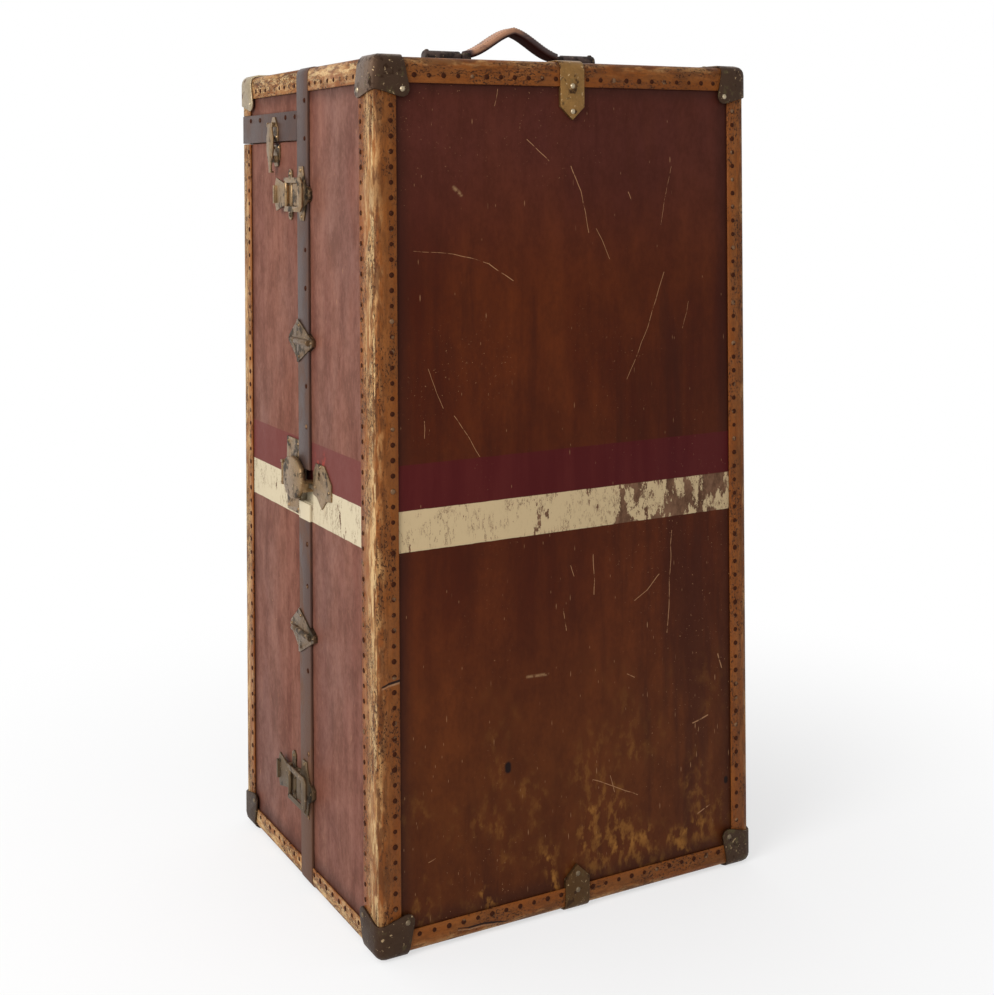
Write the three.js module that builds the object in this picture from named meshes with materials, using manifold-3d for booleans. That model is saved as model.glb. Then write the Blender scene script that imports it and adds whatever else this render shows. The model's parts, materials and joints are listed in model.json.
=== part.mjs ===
// Wardrobe trunk, standing on its end. The front half swings on a continuous hinge along the
// right side, the back half has a lift-up lid, drawers fill the front half, and a pull-out rail
// with hangers is in the back half.
// Millimetres: X to the right, Y to the back, Z up, the floor at Z 0 under the middle.

import * as THREE from 'three';
import Module from 'manifold-3d';
import { RoundedBoxGeometry } from 'three/addons/geometries/RoundedBoxGeometry.js';
import { mergeVertices } from 'three/addons/utils/BufferGeometryUtils.js';

const wasm = await Module();
wasm.setup();

// Driving dimensions
const trunkWidth = 560; // across the side bindings
const trunkDepth = 478; // across the front and back bindings
const trunkHeight = 1094; // bottom binding to top binding
const frontHalfDepth = 254; // front binding to the middle of the seam
const lidHeight = 97; // lid seam to top binding
const wallThickness = 9;
const bindingThickness = 3;
const edgeRadius = 10; // outside of the bindings
const capProud = 3; // a corner cap stands this far out, and is the foot
const seamGap = 1.2; // between the two halves
const lidGap = 1; // between the lid and the back half
const fit = 0.3; // between a piece and what it sits on
const overrun = 20; // a cut or a region passes its piece by this much
const weldDistance = 0.0001;

// Facets of round things
const edgeSegments = 2;
const rodSides = 12;
const studSides = 8;

// Strips along the edges
const frontLegWidth = 30; // of a vertical binding, on the front and the back
const sideLegFrontWidth = 47; // of a front vertical binding, on the sides
const sideLegBackWidth = 36; // of a back vertical binding, on the sides
const topBindingHeight = 32;
const bottomBindingHeight = 28;
const bindingOverTop = 35; // width of the top and bottom bindings on the top and bottom faces
const bandProud = 1; // an iron band stands this far out from the bindings
const rimBandWidth = 38;
const lidBandHeight = 40;

// Corner caps, measured from the cap's own outer corner
const capReachX = 50;
const capReachY = 56;
const capReachZ = 53;
const capEdgeX = 41;
const capEdgeY = 44;
const capEdgeZ = 42;
const capEarRadius = 10;
const capEarSteps = 4;

// Studs: the rivet and nail heads that are one with their plates
const studRadius = 4;
const studTopRadius = 2.2;
const studHeight = 1.6;
const studSink = 0.8;

// Edge clamps in the middle of the front's top and bottom edges
const clampWidth = 36;
const clampProud = 2.5;
const clampLegTop = 75; // down the front, from the top binding's outer face
const clampLegBottom = 56; // up the front, from the bottom binding's outer face
const clampPointHeight = 17;
const clampOverTop = 45;
const clampNailDropsTop = [31, 64];
const clampNailDropsBottom = [24, 45];

// Derived planes
const halfWidth = trunkWidth / 2;
const halfDepth = trunkDepth / 2;
const bottomZ = capProud;
const topZ = bottomZ + trunkHeight;
const seamY = -halfDepth + frontHalfDepth;
const frontEdgeY = seamY - seamGap / 2;
const backEdgeY = seamY + seamGap / 2;
const lidSeamZ = topZ - lidHeight;
const bodyTopZ = lidSeamZ - lidGap / 2;
const lidBottomZ = lidSeamZ + lidGap / 2;
const panelX = halfWidth - bindingThickness;
const panelY = halfDepth - bindingThickness;
const panelBottomZ = bottomZ + bindingThickness;
const panelTopZ = topZ - bindingThickness;
const insideX = panelX - wallThickness;
const insideY = panelY - wallThickness;
const insideBottomZ = panelBottomZ + wallThickness;
const insideTopZ = panelTopZ - wallThickness;
const bandFrontY = frontEdgeY - rimBandWidth;
const bandOut = bindingThickness + bandProud;
const farX = halfWidth + overrun;
const farY = halfDepth + overrun;
const farTopZ = topZ + overrun;
const farBottomZ = bottomZ - overrun;

// Solids from three.js geometries
function solid(geometry) {
  const bare = geometry.clone();
  bare.deleteAttribute('normal');
  bare.deleteAttribute('uv');
  const merged = mergeVertices(bare, weldDistance);
  const mesh = new wasm.Mesh({
    numProp: 3,
    vertProperties: new Float32Array(merged.attributes.position.array),
    triVerts: new Uint32Array(merged.index.array),
  });
  mesh.merge();
  return new wasm.Manifold(mesh);
}

function fuse(first, ...others) {
  return others.reduce((whole, piece) => whole.add(piece), first);
}

function cut(first, ...others) {
  return others.reduce((whole, piece) => whole.subtract(piece), first);
}

function clip(first, ...others) {
  return others.reduce((whole, piece) => whole.intersect(piece), first);
}

function about(centre, halfSize) {
  return [centre - halfSize, centre + halfSize];
}

function sorted(a, b) {
  return [Math.min(a, b), Math.max(a, b)];
}

function block([x0, x1], [y0, y1], [z0, z1]) {
  const geometry = new THREE.BoxGeometry(x1 - x0, y1 - y0, z1 - z0);
  geometry.translate((x0 + x1) / 2, (y0 + y1) / 2, (z0 + z1) / 2);
  return solid(geometry);
}

// A round bar along an axis; the centre's value along that axis is left at 0
function rod(axis, radius, [from, to], centre, sides = rodSides, endRadius = radius) {
  const geometry = new THREE.CylinderGeometry(endRadius, radius, to - from, sides);
  geometry.translate(0, (from + to) / 2, 0);
  if (axis === 'x') {
    geometry.rotateZ(-Math.PI / 2);
  }
  if (axis === 'z') {
    geometry.rotateX(Math.PI / 2);
  }
  geometry.translate(...centre);
  return solid(geometry);
}

// An outline pushed along an axis. Its points are [y, z] for x, [x, z] for y and [x, y] for z
function prism(axis, points, [from, to], bevel = 0) {
  const flat = points.map(([u, v]) => (axis === 'y' ? [v, u] : [u, v]));
  const shape = new THREE.Shape(flat.map(([u, v]) => new THREE.Vector2(u, v)));
  const geometry = new THREE.ExtrudeGeometry(shape, {
    depth: to - from,
    bevelEnabled: bevel > 0,
    bevelThickness: bevel,
    bevelSize: bevel,
    bevelOffset: -bevel,
    bevelSegments: 2,
  });
  const x = new THREE.Vector3(1, 0, 0);
  const y = new THREE.Vector3(0, 1, 0);
  const z = new THREE.Vector3(0, 0, 1);
  const turns = { x: [y, z, x], y: [z, x, y], z: [x, y, z] };
  geometry.translate(0, 0, from);
  geometry.applyMatrix4(new THREE.Matrix4().makeBasis(...turns[axis]));
  return solid(geometry);
}

function arc(centreU, centreV, radius, fromDegrees, toDegrees, steps) {
  return Array.from({ length: steps + 1 }, (_, i) => {
    const angle = THREE.MathUtils.degToRad(fromDegrees + ((toDegrees - fromDegrees) * i) / steps);
    return [centreU + radius * Math.cos(angle), centreV + radius * Math.sin(angle)];
  });
}

// A domed head on a face whose outward direction is sign along the axis
function stud(axis, sign, centre, radius = studRadius) {
  const index = 'xyz'.indexOf(axis);
  const level = centre[index];
  const place = centre.map((value, i) => (i === index ? 0 : value));
  const span = sorted(level - sign * studSink, level + sign * studHeight);
  const top = (radius * studTopRadius) / studRadius;
  const [low, high] = sign > 0 ? [radius, top] : [top, radius];
  return rod(axis, low, span, place, studSides, high);
}

function leftStud(out, y, z, radius = studRadius) {
  return stud('x', -1, [left(out), y, z], radius);
}

// The trunk's rounded body, standing proud of the bindings or sunk under them
function body(proud) {
  const geometry = new RoundedBoxGeometry(
    trunkWidth + 2 * proud,
    trunkDepth + 2 * proud,
    trunkHeight + 2 * proud,
    edgeSegments,
    edgeRadius + proud,
  );
  geometry.translate(0, 0, bottomZ + trunkHeight / 2);
  return solid(geometry);
}

const panelBody = body(-bindingThickness);
const panelClearance = body(fit - bindingThickness);
const bindingBody = body(0);
const bindingClearance = body(fit);
const bandBody = body(bandProud);
const capBody = body(capProud);
const clampBody = body(clampProud);

// A place on the left side, measured outward from its panel
function left(out) {
  return -panelX - out;
}

function leftSpan(outFrom, outTo) {
  return sorted(left(outFrom), left(outTo));
}

// What a plate that lies over the rim band leaves free for it
const rimBandZone = block(
  [left(bandOut), left(-overrun)],
  [bandFrontY - fit, farY],
  [farBottomZ, farTopZ],
);

const wholeX = [-farX, farX];
const wholeZ = [farBottomZ, farTopZ];
const hollow = block(about(0, insideX), about(0, insideY), [insideBottomZ, insideTopZ]);
const frontRegion = block(wholeX, [-farY, frontEdgeY], wholeZ);
const backRegion = block(wholeX, [backEdgeY, farY], [farBottomZ, bodyTopZ]);
const lidRegion = block(wholeX, [backEdgeY, farY], [lidBottomZ, farTopZ]);

// Lock sizes, which the front shell and the rim band share
const lockHeight = 537; // middle of the lock notch
const notchHeight = 46;
const notchReach = 41.4; // from the seam
const notchDepth = 6.7; // into the wall
const boltWidth = 3.4;
const boltHeight = 5;
const boltLength = 46;
const boltTipReach = 31; // from the front half's edge
const boltOut = -2; // middle of the bolt, inside the panel face
const boltRoom = 2;

const lockNotch = block(
  leftSpan(-notchDepth, overrun),
  [frontEdgeY - notchReach, farY],
  about(lockHeight, notchHeight / 2),
);
const boltTipY = frontEdgeY - boltTipReach;
const boltPocket = block(
  leftSpan(boltOut - boltWidth / 2 - fit, overrun),
  [boltTipY - boltLength - boltRoom, frontEdgeY - notchReach + fit],
  about(lockHeight, boltHeight / 2 + fit),
);

// Shells
function frontShell() {
  const opened = cut(panelBody, hollow, block(
    about(0, insideX),
    [0, farY],
    [insideBottomZ, insideTopZ],
  ));
  return cut(clip(opened, frontRegion), lockNotch, boltPocket);
}

function backShell() {
  const mouth = block(about(0, insideX), [-farY, insideY], [insideBottomZ, farTopZ]);
  return clip(cut(panelBody, mouth), backRegion);
}

function lidShell() {
  const mouth = block(about(0, insideX), [-farY, insideY], [0, insideTopZ]);
  return clip(cut(panelBody, mouth), lidRegion);
}

// Iron bands
const bandSkin = cut(bandBody, panelClearance);

function frontRimBand() {
  const ring = clip(bandSkin, block(wholeX, [bandFrontY, frontEdgeY], wholeZ));
  return cut(ring, lockNotch);
}

function lidBand() {
  return clip(bandSkin, lidRegion, block(
    wholeX,
    [backEdgeY, farY],
    [lidBottomZ, lidBottomZ + lidBandHeight],
  ));
}

// Bindings
const bindingSkin = cut(bindingBody, panelClearance);
const topStripZ = topZ - topBindingHeight;
const bottomStripZ = bottomZ + bottomBindingHeight;

function cornerColumn(sideSign, depthSign, sideLegWidth, spanZ) {
  return block(
    sorted(sideSign * farX, sideSign * (halfWidth - frontLegWidth)),
    sorted(depthSign * farY, depthSign * (halfDepth - sideLegWidth)),
    spanZ,
  );
}

function verticalBinding(sideSign, depthSign) {
  const sideLegWidth = depthSign < 0 ? sideLegFrontWidth : sideLegBackWidth;
  const upper = depthSign < 0 ? topStripZ - fit : bodyTopZ;
  const column = cornerColumn(sideSign, depthSign, sideLegWidth, [bottomStripZ + fit, upper]);
  return clip(bindingSkin, column);
}

function edgeBinding(depthSign, isTop) {
  const inner = halfWidth - bindingOverTop;
  const spanZ = isTop ? [topStripZ, farTopZ] : [farBottomZ, bottomStripZ];
  const end = depthSign < 0 ? bandFrontY - fit : backEdgeY;
  const strip = block(wholeX, sorted(depthSign * farY, end), spanZ);
  const open = block(
    about(0, inner),
    sorted(depthSign * (halfDepth - bindingOverTop), -depthSign * farY),
    wholeZ,
  );
  return cut(clip(bindingSkin, strip), open);
}

function lidBinding() {
  const spanZ = [lidBottomZ + lidBandHeight + fit, topStripZ + fit];
  const corners = [-1, 1].map((side) => cornerColumn(side, 1, sideLegBackWidth, spanZ));
  return fuse(edgeBinding(1, true), ...corners.map((corner) => clip(bindingSkin, corner)));
}

// Corner caps: three lobes with a nail each
function capOutline(edgeU, edgeV, reachU, reachV) {
  const ear = arc(
    reachU - capEarRadius,
    reachV - capEarRadius,
    capEarRadius,
    -20,
    110,
    capEarSteps,
  );
  return [[0, 0], [edgeU, 0], ...ear, [0, edgeV]];
}

const capSkin = cut(capBody, bindingClearance);

function cornerCap(signX, signY, signZ) {
  const x = signX * (halfWidth + capProud);
  const y = signY * (halfDepth + capProud);
  const z = signZ > 0 ? topZ + capProud : bottomZ - capProud;
  const depth = edgeRadius + capProud;
  const onX = ([a, b]) => [y - signY * a, z - signZ * b];
  const onY = ([a, b]) => [x - signX * a, z - signZ * b];
  const onZ = ([a, b]) => [x - signX * a, y - signY * b];
  const side = prism(
    'x',
    capOutline(capEdgeY, capEdgeZ, capReachY, capReachZ).map(onX),
    sorted(x + signX * overrun, x - signX * depth),
  );
  const face = prism(
    'y',
    capOutline(capEdgeX, capEdgeZ, capReachX, capReachZ).map(onY),
    sorted(y + signY * overrun, y - signY * depth),
  );
  const end = prism(
    'z',
    capOutline(capEdgeX, capEdgeY, capReachX, capReachY).map(onZ),
    sorted(z + signZ * overrun, z - signZ * depth),
  );
  const earX = x - signX * (capReachX - capEarRadius);
  const earY = y - signY * (capReachY - capEarRadius);
  const earZ = z - signZ * (capReachZ - capEarRadius);
  const studs = [
    stud('x', signX, [x, earY, earZ]),
    stud('y', signY, [earX, y, earZ]),
  ];
  // The foot's own nail is driven flush
  if (signZ > 0) {
    studs.push(stud('z', signZ, [earX, earY, z]));
  }
  return fuse(clip(capSkin, fuse(side, face, end)), ...studs);
}

// Edge clamps
function edgeClamp(isTop) {
  const sign = isTop ? 1 : -1;
  const edgeZ = isTop ? topZ : bottomZ;
  const leg = isTop ? clampLegTop : clampLegBottom;
  const drops = isTop ? clampNailDropsTop : clampNailDropsBottom;
  const stripHeight = isTop ? topBindingHeight : bottomBindingHeight;
  const half = clampWidth / 2;
  const tipZ = edgeZ - sign * leg;
  const shoulderZ = tipZ + sign * clampPointHeight;
  const outerZ = edgeZ + sign * overrun;
  const front = prism(
    'y',
    [[-half, outerZ], [half, outerZ], [half, shoulderZ], [0, tipZ], [-half, shoulderZ]],
    [-farY, edgeRadius - halfDepth],
  );
  const over = block(
    about(0, half),
    [-farY, clampOverTop - halfDepth],
    sorted(outerZ, edgeZ - sign * edgeRadius),
  );
  const bindingZone = clip(bindingClearance, block(
    wholeX,
    [-farY, bindingOverTop + fit - halfDepth],
    sorted(outerZ, edgeZ - sign * (stripHeight + fit)),
  ));
  const faceY = -halfDepth - clampProud;
  const studs = drops.map((drop) => stud('y', -1, [0, faceY, edgeZ - sign * drop]));
  return fuse(
    cut(clip(clampBody, fuse(front, over)), bindingZone, panelBody),
    ...studs,
  );
}

// Handle and its brackets on the top of the front half
const handleX = -7.5;
const handleY = -90;
const handleAxisRise = 16; // tilt axis above the top panel
const handleHalfSpan = 132.5;
const bracketLength = 52;
const bracketPlateWidth = 34;
const bracketPlateThickness = 3;
const bracketBarrelRadius = 9;
const bracketPostWidth = 10;
const bracketEndWall = 4;
const pivotRadius = 4.2;
const pivotBore = 4.7;
const ferruleLength = 12;
const ferruleWidth = 26;
const ferruleHeight = 13;
const archHalfLength = 68;
const archRise = 36.5;
const archFootRise = 2; // foot of the arch above the tilt axis
const archThickness = 11;
const archWidth = 28;
const archSteps = 14;
const archSlopeShare = 0.45; // of the rise, straight to the crest; a cosine makes up the rest
const handleAxisZ = panelTopZ + handleAxisRise;

function handleBracket(side) {
  const inner = handleHalfSpan - bracketLength;
  const spanX = sorted(handleX + side * inner, handleX + side * handleHalfSpan);
  const boreX = sorted(
    handleX + side * (inner - overrun),
    handleX + side * (handleHalfSpan - bracketEndWall),
  );
  const plateTop = panelTopZ + bracketPlateThickness;
  const plate = block(spanX, about(handleY, bracketPlateWidth / 2), [panelTopZ, plateTop]);
  const post = block(spanX, about(handleY, bracketPostWidth / 2), [panelTopZ, handleAxisZ]);
  const barrel = rod('x', bracketBarrelRadius, spanX, [0, handleY, handleAxisZ]);
  const bore = rod('x', pivotBore, boreX, [0, handleY, handleAxisZ]);
  const nubX = handleX + side * (handleHalfSpan - studRadius);
  const nub = stud('z', 1, [nubX, handleY, handleAxisZ + bracketBarrelRadius]);
  const plateStuds = [-1, 1].map((sign) => stud('z', 1, [
    handleX + side * (inner + bracketLength / 2),
    handleY + sign * (bracketPlateWidth / 2 - studRadius),
    plateTop,
  ], studRadius / 2));
  return fuse(cut(fuse(plate, post, barrel), bore), nub, ...plateStuds);
}

function handleStrap() {
  const waveShare = (1 - archSlopeShare) / 2;
  const shareAt = (t) => archSlopeShare * (1 - Math.abs(t))
    + waveShare * (1 + Math.cos(Math.PI * t));
  const centreLine = Array.from({ length: archSteps + 1 }, (_, i) => {
    const t = (2 * i) / archSteps - 1;
    const z = handleAxisZ + archFootRise + archRise * shareAt(t);
    return [handleX + t * archHalfLength, z];
  });
  const half = archThickness / 2;
  const outline = [
    ...centreLine.map(([x, z]) => [x, z + half]),
    ...centreLine.map(([x, z]) => [x, z - half]).reverse(),
  ];
  const arch = prism('y', outline, about(handleY, archWidth / 2));
  const ends = [-1, 1].map((side) => {
    const ferruleInner = archHalfLength - studSink;
    const ferrule = block(
      sorted(handleX + side * ferruleInner, handleX + side * (ferruleInner + ferruleLength)),
      about(handleY, ferruleWidth / 2),
      about(handleAxisZ, ferruleHeight / 2),
    );
    const stub = rod('x', pivotRadius, sorted(
      handleX + side * ferruleInner,
      handleX + side * (handleHalfSpan - bracketEndWall - fit),
    ), [0, handleY, handleAxisZ]);
    return fuse(ferrule, stub);
  });
  return fuse(arch, ...ends);
}

// Continuous hinge on the right side
const hingePlateThickness = 2;
const hingeBottomZ = 60;
const hingeTopDrop = 20; // below the lid seam
const hingeAxisOut = 6; // beyond the rim band's face
const hingeKnuckleRadius = 3.6;
const hingeBore = 2;
const hingePinRadius = 1.6;
const hingeLeafWidth = 30;
const hingeKnuckles = 10;
const hingeWebDepth = 9;
const hingeX = halfWidth + bandProud + hingeAxisOut;
const hingeZ = [hingeBottomZ, lidSeamZ - hingeTopDrop];
const hingeRivets = 9;
const hingeRivetInset = 20; // of the first and last rivet, from the leaf's ends

function knuckleSpan(span, count, index) {
  const pitch = (span[1] - span[0]) / count;
  return [span[0] + pitch * index + fit, span[0] + pitch * (index + 1) - fit];
}

function spread(span, count, inset) {
  const step = (span[1] - span[0] - 2 * inset) / (count - 1);
  return Array.from({ length: count }, (_, i) => span[0] + inset + i * step);
}

function mainHingeLeaf(isFront) {
  const sign = isFront ? -1 : 1;
  const seatX = isFront ? halfWidth + bandProud : panelX;
  const edgeY = seamY + sign * seamGap;
  const plate = block(
    [seatX, seatX + hingePlateThickness],
    sorted(edgeY, edgeY + sign * hingeLeafWidth),
    hingeZ,
  );
  const web = [
    [seatX, edgeY],
    [seatX, edgeY + sign * hingeWebDepth],
    [seatX + hingePlateThickness, edgeY + sign * hingeWebDepth],
    [hingeX, seamY + sign * (hingeKnuckleRadius - fit)],
    [hingeX - hingeBore, edgeY],
  ];
  const pieces = [];
  for (let i = isFront ? 0 : 1; i < hingeKnuckles; i += 2) {
    const span = knuckleSpan(hingeZ, hingeKnuckles, i);
    pieces.push(prism('z', web, span));
    pieces.push(rod('z', hingeKnuckleRadius, span, [hingeX, seamY, 0]));
  }
  const bore = rod('z', hingeBore, wholeZ, [hingeX, seamY, 0]);
  const studs = spread(hingeZ, hingeRivets, hingeRivetInset).map((z) => stud('x', 1, [
    seatX + hingePlateThickness,
    edgeY + sign * (hingeLeafWidth - hingeWebDepth),
    z,
  ], studRadius / 2));
  return fuse(cut(fuse(plate, ...pieces), bore), ...studs);
}

function mainHingePin() {
  return rod('z', hingePinRadius, hingeZ, [hingeX, seamY, 0]);
}

// Lid hinge on the back
const lidHingeLength = 400;
const lidHingeAxisOut = 6; // beyond the lid band's face
const lidHingeKnuckles = 7;
const lidHingeLeafHeight = 30;
const lidHingeWeb = 8;
const lidHingeRivets = 5;
const lidHingeY = halfDepth + bandProud + lidHingeAxisOut;
const lidHingeX = about(0, lidHingeLength / 2);

function lidHingeLeaf(isLid) {
  const sign = isLid ? 1 : -1;
  const seatY = isLid ? halfDepth + bandProud : panelY;
  const edgeZ = lidSeamZ + sign * lidGap;
  const plate = block(
    lidHingeX,
    [seatY, seatY + hingePlateThickness],
    sorted(edgeZ, edgeZ + sign * lidHingeLeafHeight),
  );
  const web = [
    [seatY, edgeZ],
    [seatY, edgeZ + sign * lidHingeWeb],
    [seatY + hingePlateThickness, edgeZ + sign * lidHingeWeb],
    [lidHingeY, lidSeamZ + sign * (hingeKnuckleRadius - fit)],
    [lidHingeY - hingeBore, edgeZ],
  ];
  const pieces = [];
  for (let i = isLid ? 1 : 0; i < lidHingeKnuckles; i += 2) {
    const span = knuckleSpan(lidHingeX, lidHingeKnuckles, i);
    pieces.push(prism('x', web, span));
    pieces.push(rod('x', hingeKnuckleRadius, span, [0, lidHingeY, lidSeamZ]));
  }
  const bore = rod('x', hingeBore, wholeX, [0, lidHingeY, lidSeamZ]);
  const pin = rod('x', hingePinRadius, lidHingeX, [0, lidHingeY, lidSeamZ]);
  const studs = spread(lidHingeX, lidHingeRivets, hingeRivetInset).map((x) => stud('y', 1, [
    x,
    seatY + hingePlateThickness,
    edgeZ + sign * (lidHingeLeafHeight - lidHingeWeb),
  ], studRadius / 2));
  const leaf = fuse(plate, ...pieces);
  // The pin is riveted into the back half's knuckles
  return isLid ? fuse(cut(leaf, bore), ...studs) : fuse(leaf, pin, ...studs);
}

// Draw latches on the left side
const latchUpperDrop = 73; // below the lid seam
const latchLowerHeight = 130;
const latchPlateThickness = 2;
const latchBaseReach = 50; // from the seam
const latchBaseHalfHeight = 18;
const latchLobeRadius = 7;
const latchLobeHeight = 28;
const latchLobeReach = 30;
const latchPivotOut = 6.6;
const latchPivotReach = 10; // from the seam
const latchCheekWidth = 3;
const latchCheekGap = 13;
const latchCheekHalfLength = 5;
const latchBarrelRadius = 3;
const latchPinRadius = 1.6;
const latchPinHole = 2;
const leverReach = 76; // from the seam
const leverRootHalfHeight = 12.5;
const leverEndHalfHeight = 23;
const leverThickness = 2.2;
const leverLipRise = 3;
const bailPivotOut = 5; // beyond the lever's pivot
const bailPivotReach = 9; // beyond the lever's pivot, away from the seam
const bailHalfHeight = 23;
const bailWindowHalfHeight = 16;
const bailReach = 45; // from the seam, over the front half
const bailWindowReach = 29;
const bailThickness = 2.2;
const bailEyeRadius = 3.6;
const catchReach = 47;
const catchHalfHeight = 38;
const catchRibSpan = [4, 25]; // from the seam
const catchRibHalfHeight = 15;
const catchRibBevel = 3;
const latchUpperZ = lidSeamZ - latchUpperDrop;
const latchPivotY = seamY + latchPivotReach;
const bailOut = latchPivotOut + bailPivotOut;
const bailPivotY = latchPivotY + bailPivotReach;
const bailInnerOut = bailOut + bailEyeRadius - bailThickness;

function latchBase(z) {
  const edgeY = backEdgeY + fit;
  const spanX = leftSpan(0, latchPlateThickness);
  const plate = prism('x', [
    [edgeY, z - latchBaseHalfHeight],
    [edgeY, z + latchBaseHalfHeight],
    [seamY + latchBaseReach, z + latchBaseHalfHeight - latchLobeRadius],
    [seamY + latchBaseReach, z - latchBaseHalfHeight + latchLobeRadius],
  ], spanX);
  const lobes = [];
  for (const side of [-1, 1]) {
    const lobeY = seamY + latchLobeReach;
    const lobeZ = z + side * latchLobeHeight;
    lobes.push(rod('x', latchLobeRadius, spanX, [0, lobeY, lobeZ]));
    lobes.push(block(
      spanX,
      about(lobeY, latchLobeRadius),
      sorted(lobeZ, z),
    ));
    lobes.push(leftStud(latchPlateThickness, lobeY, lobeZ));
  }
  const cheeks = [-1, 1].map((side) => block(
    leftSpan(0, latchPivotOut + latchBarrelRadius),
    about(latchPivotY, latchCheekHalfLength),
    sorted(
      z + side * latchCheekGap,
      z + side * (latchCheekGap + latchCheekWidth),
    ),
  ));
  const hole = rod('z', latchPinHole, wholeZ, [left(latchPivotOut), latchPivotY, 0]);
  return cut(fuse(plate, ...lobes, ...cheeks), hole);
}

function latchLever(z) {
  const barrel = rod(
    'z',
    latchBarrelRadius,
    about(z, latchCheekGap - fit),
    [left(latchPivotOut), latchPivotY, 0],
  );
  const pin = rod(
    'z',
    latchPinRadius,
    about(z, latchCheekGap + latchCheekWidth),
    [left(latchPivotOut), latchPivotY, 0],
  );
  const tabOut = latchPivotOut + latchBarrelRadius - leverThickness;
  const endY = seamY + leverReach;
  const shoulderY = endY - leverEndHalfHeight / 2;
  const tab = prism('x', [
    [latchPivotY, z - leverRootHalfHeight],
    [latchPivotY, z + leverRootHalfHeight],
    [bailPivotY + bailEyeRadius, z + leverRootHalfHeight],
    [shoulderY, z + leverEndHalfHeight],
    ...arc(shoulderY, z, leverEndHalfHeight / 2, 60, -60, 4),
    [shoulderY, z - leverEndHalfHeight],
    [bailPivotY + bailEyeRadius, z - leverRootHalfHeight],
  ], leftSpan(tabOut, tabOut + leverThickness));
  const lip = block(
    leftSpan(tabOut, tabOut + leverThickness + leverLipRise),
    about(shoulderY + leverLipRise, leverThickness),
    about(z, leverRootHalfHeight),
  );
  const crossBar = rod(
    'z',
    latchBarrelRadius,
    about(z, bailWindowHalfHeight + leverThickness),
    [left(bailOut), bailPivotY, 0],
  );
  const crossPin = rod(
    'z',
    latchPinRadius,
    about(z, bailHalfHeight),
    [left(bailOut), bailPivotY, 0],
  );
  return fuse(barrel, pin, tab, lip, crossBar, crossPin);
}

function latchBail(z) {
  const armHalf = bailWindowHalfHeight + leverThickness + fit;
  const frontY = seamY - bailReach;
  const windowY = seamY - bailWindowReach;
  const cornerY = frontY + latchLobeRadius;
  const plateX = leftSpan(bailInnerOut, bailInnerOut + bailThickness);
  const frame = prism('x', [
    [bailPivotY, z - bailHalfHeight],
    [bailPivotY, z + bailHalfHeight],
    [cornerY, z + bailHalfHeight],
    [frontY, z + bailHalfHeight - latchLobeRadius],
    [frontY, z - bailHalfHeight + latchLobeRadius],
    [cornerY, z - bailHalfHeight],
  ], plateX);
  const window = block(
    leftSpan(0, bailOut + overrun),
    [windowY, bailPivotY + overrun],
    about(z, bailWindowHalfHeight),
  );
  const armRoom = block(
    leftSpan(0, bailOut + overrun),
    [bailPivotY - bailEyeRadius - fit, bailPivotY + overrun],
    about(z, armHalf),
  );
  const eyes = [-1, 1].map((side) => rod(
    'z',
    bailEyeRadius,
    sorted(z + side * armHalf, z + side * bailHalfHeight),
    [left(bailOut), bailPivotY, 0],
  ));
  const hole = rod('z', latchPinHole, wholeZ, [left(bailOut), bailPivotY, 0]);
  return cut(fuse(cut(frame, window, armRoom), ...eyes), hole);
}

// Shares of the catch plate's reach from the seam and of its half height
const catchOutlineShares = [
  [0.05, -0.45], [0.05, 0.45], [0.22, 0.75], [0.25, 1], [0.55, 1], [0.6, 0.75],
  [0.7, 0.4], [1, 0.14], [1, -0.14], [0.72, -0.4], [0.66, -0.7], [0.6, -0.92],
  [0.32, -0.92], [0.25, -0.7],
];
const catchStudShares = [[0.4, 0.86], [0.46, -0.78], [0.86, 0]];

function latchCatch(z) {
  const outer = bandOut + latchPlateThickness;
  const place = ([u, v]) => [seamY - u * catchReach, z + v * catchHalfHeight];
  const plate = cut(prism('x', catchOutlineShares.map(place), leftSpan(0, outer)), rimBandZone);
  const ribOut = bailInnerOut - fit;
  const [ribNear, ribFar] = catchRibSpan;
  const rib = prism('z', [
    [left(outer - studSink), seamY - ribNear],
    [left(ribOut - catchRibBevel), seamY - ribNear],
    [left(ribOut), seamY - ribNear - catchRibBevel],
    [left(ribOut), seamY - ribFar + catchRibBevel],
    [left(ribOut - catchRibBevel), seamY - ribFar],
    [left(outer - studSink), seamY - ribFar],
  ], about(z, catchRibHalfHeight));
  const studs = catchStudShares.map(place).map(([y, nailZ]) => leftStud(outer, y, nailZ));
  return fuse(plate, rib, ...studs);
}

// Dowel plates that line the halves up
const dowelHeights = { upper: 730, lower: 339 };
const dowelFrontReach = 55;
const dowelBackReach = 38;
const dowelHalfHeight = 29;
const dowelPlateThickness = 2;
const dowelOut = 7.2;
const dowelBossRadius = 4.4;
const dowelBossFront = 46;
const dowelBossBack = 14;
const dowelBore = 2.7;
const dowelPinRadius = 2.2;
const dowelPinLength = 11;
const dowelBoreDepth = 14;
const dowelNailReach = 8;
const dowelNailRadius = 3;

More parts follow.
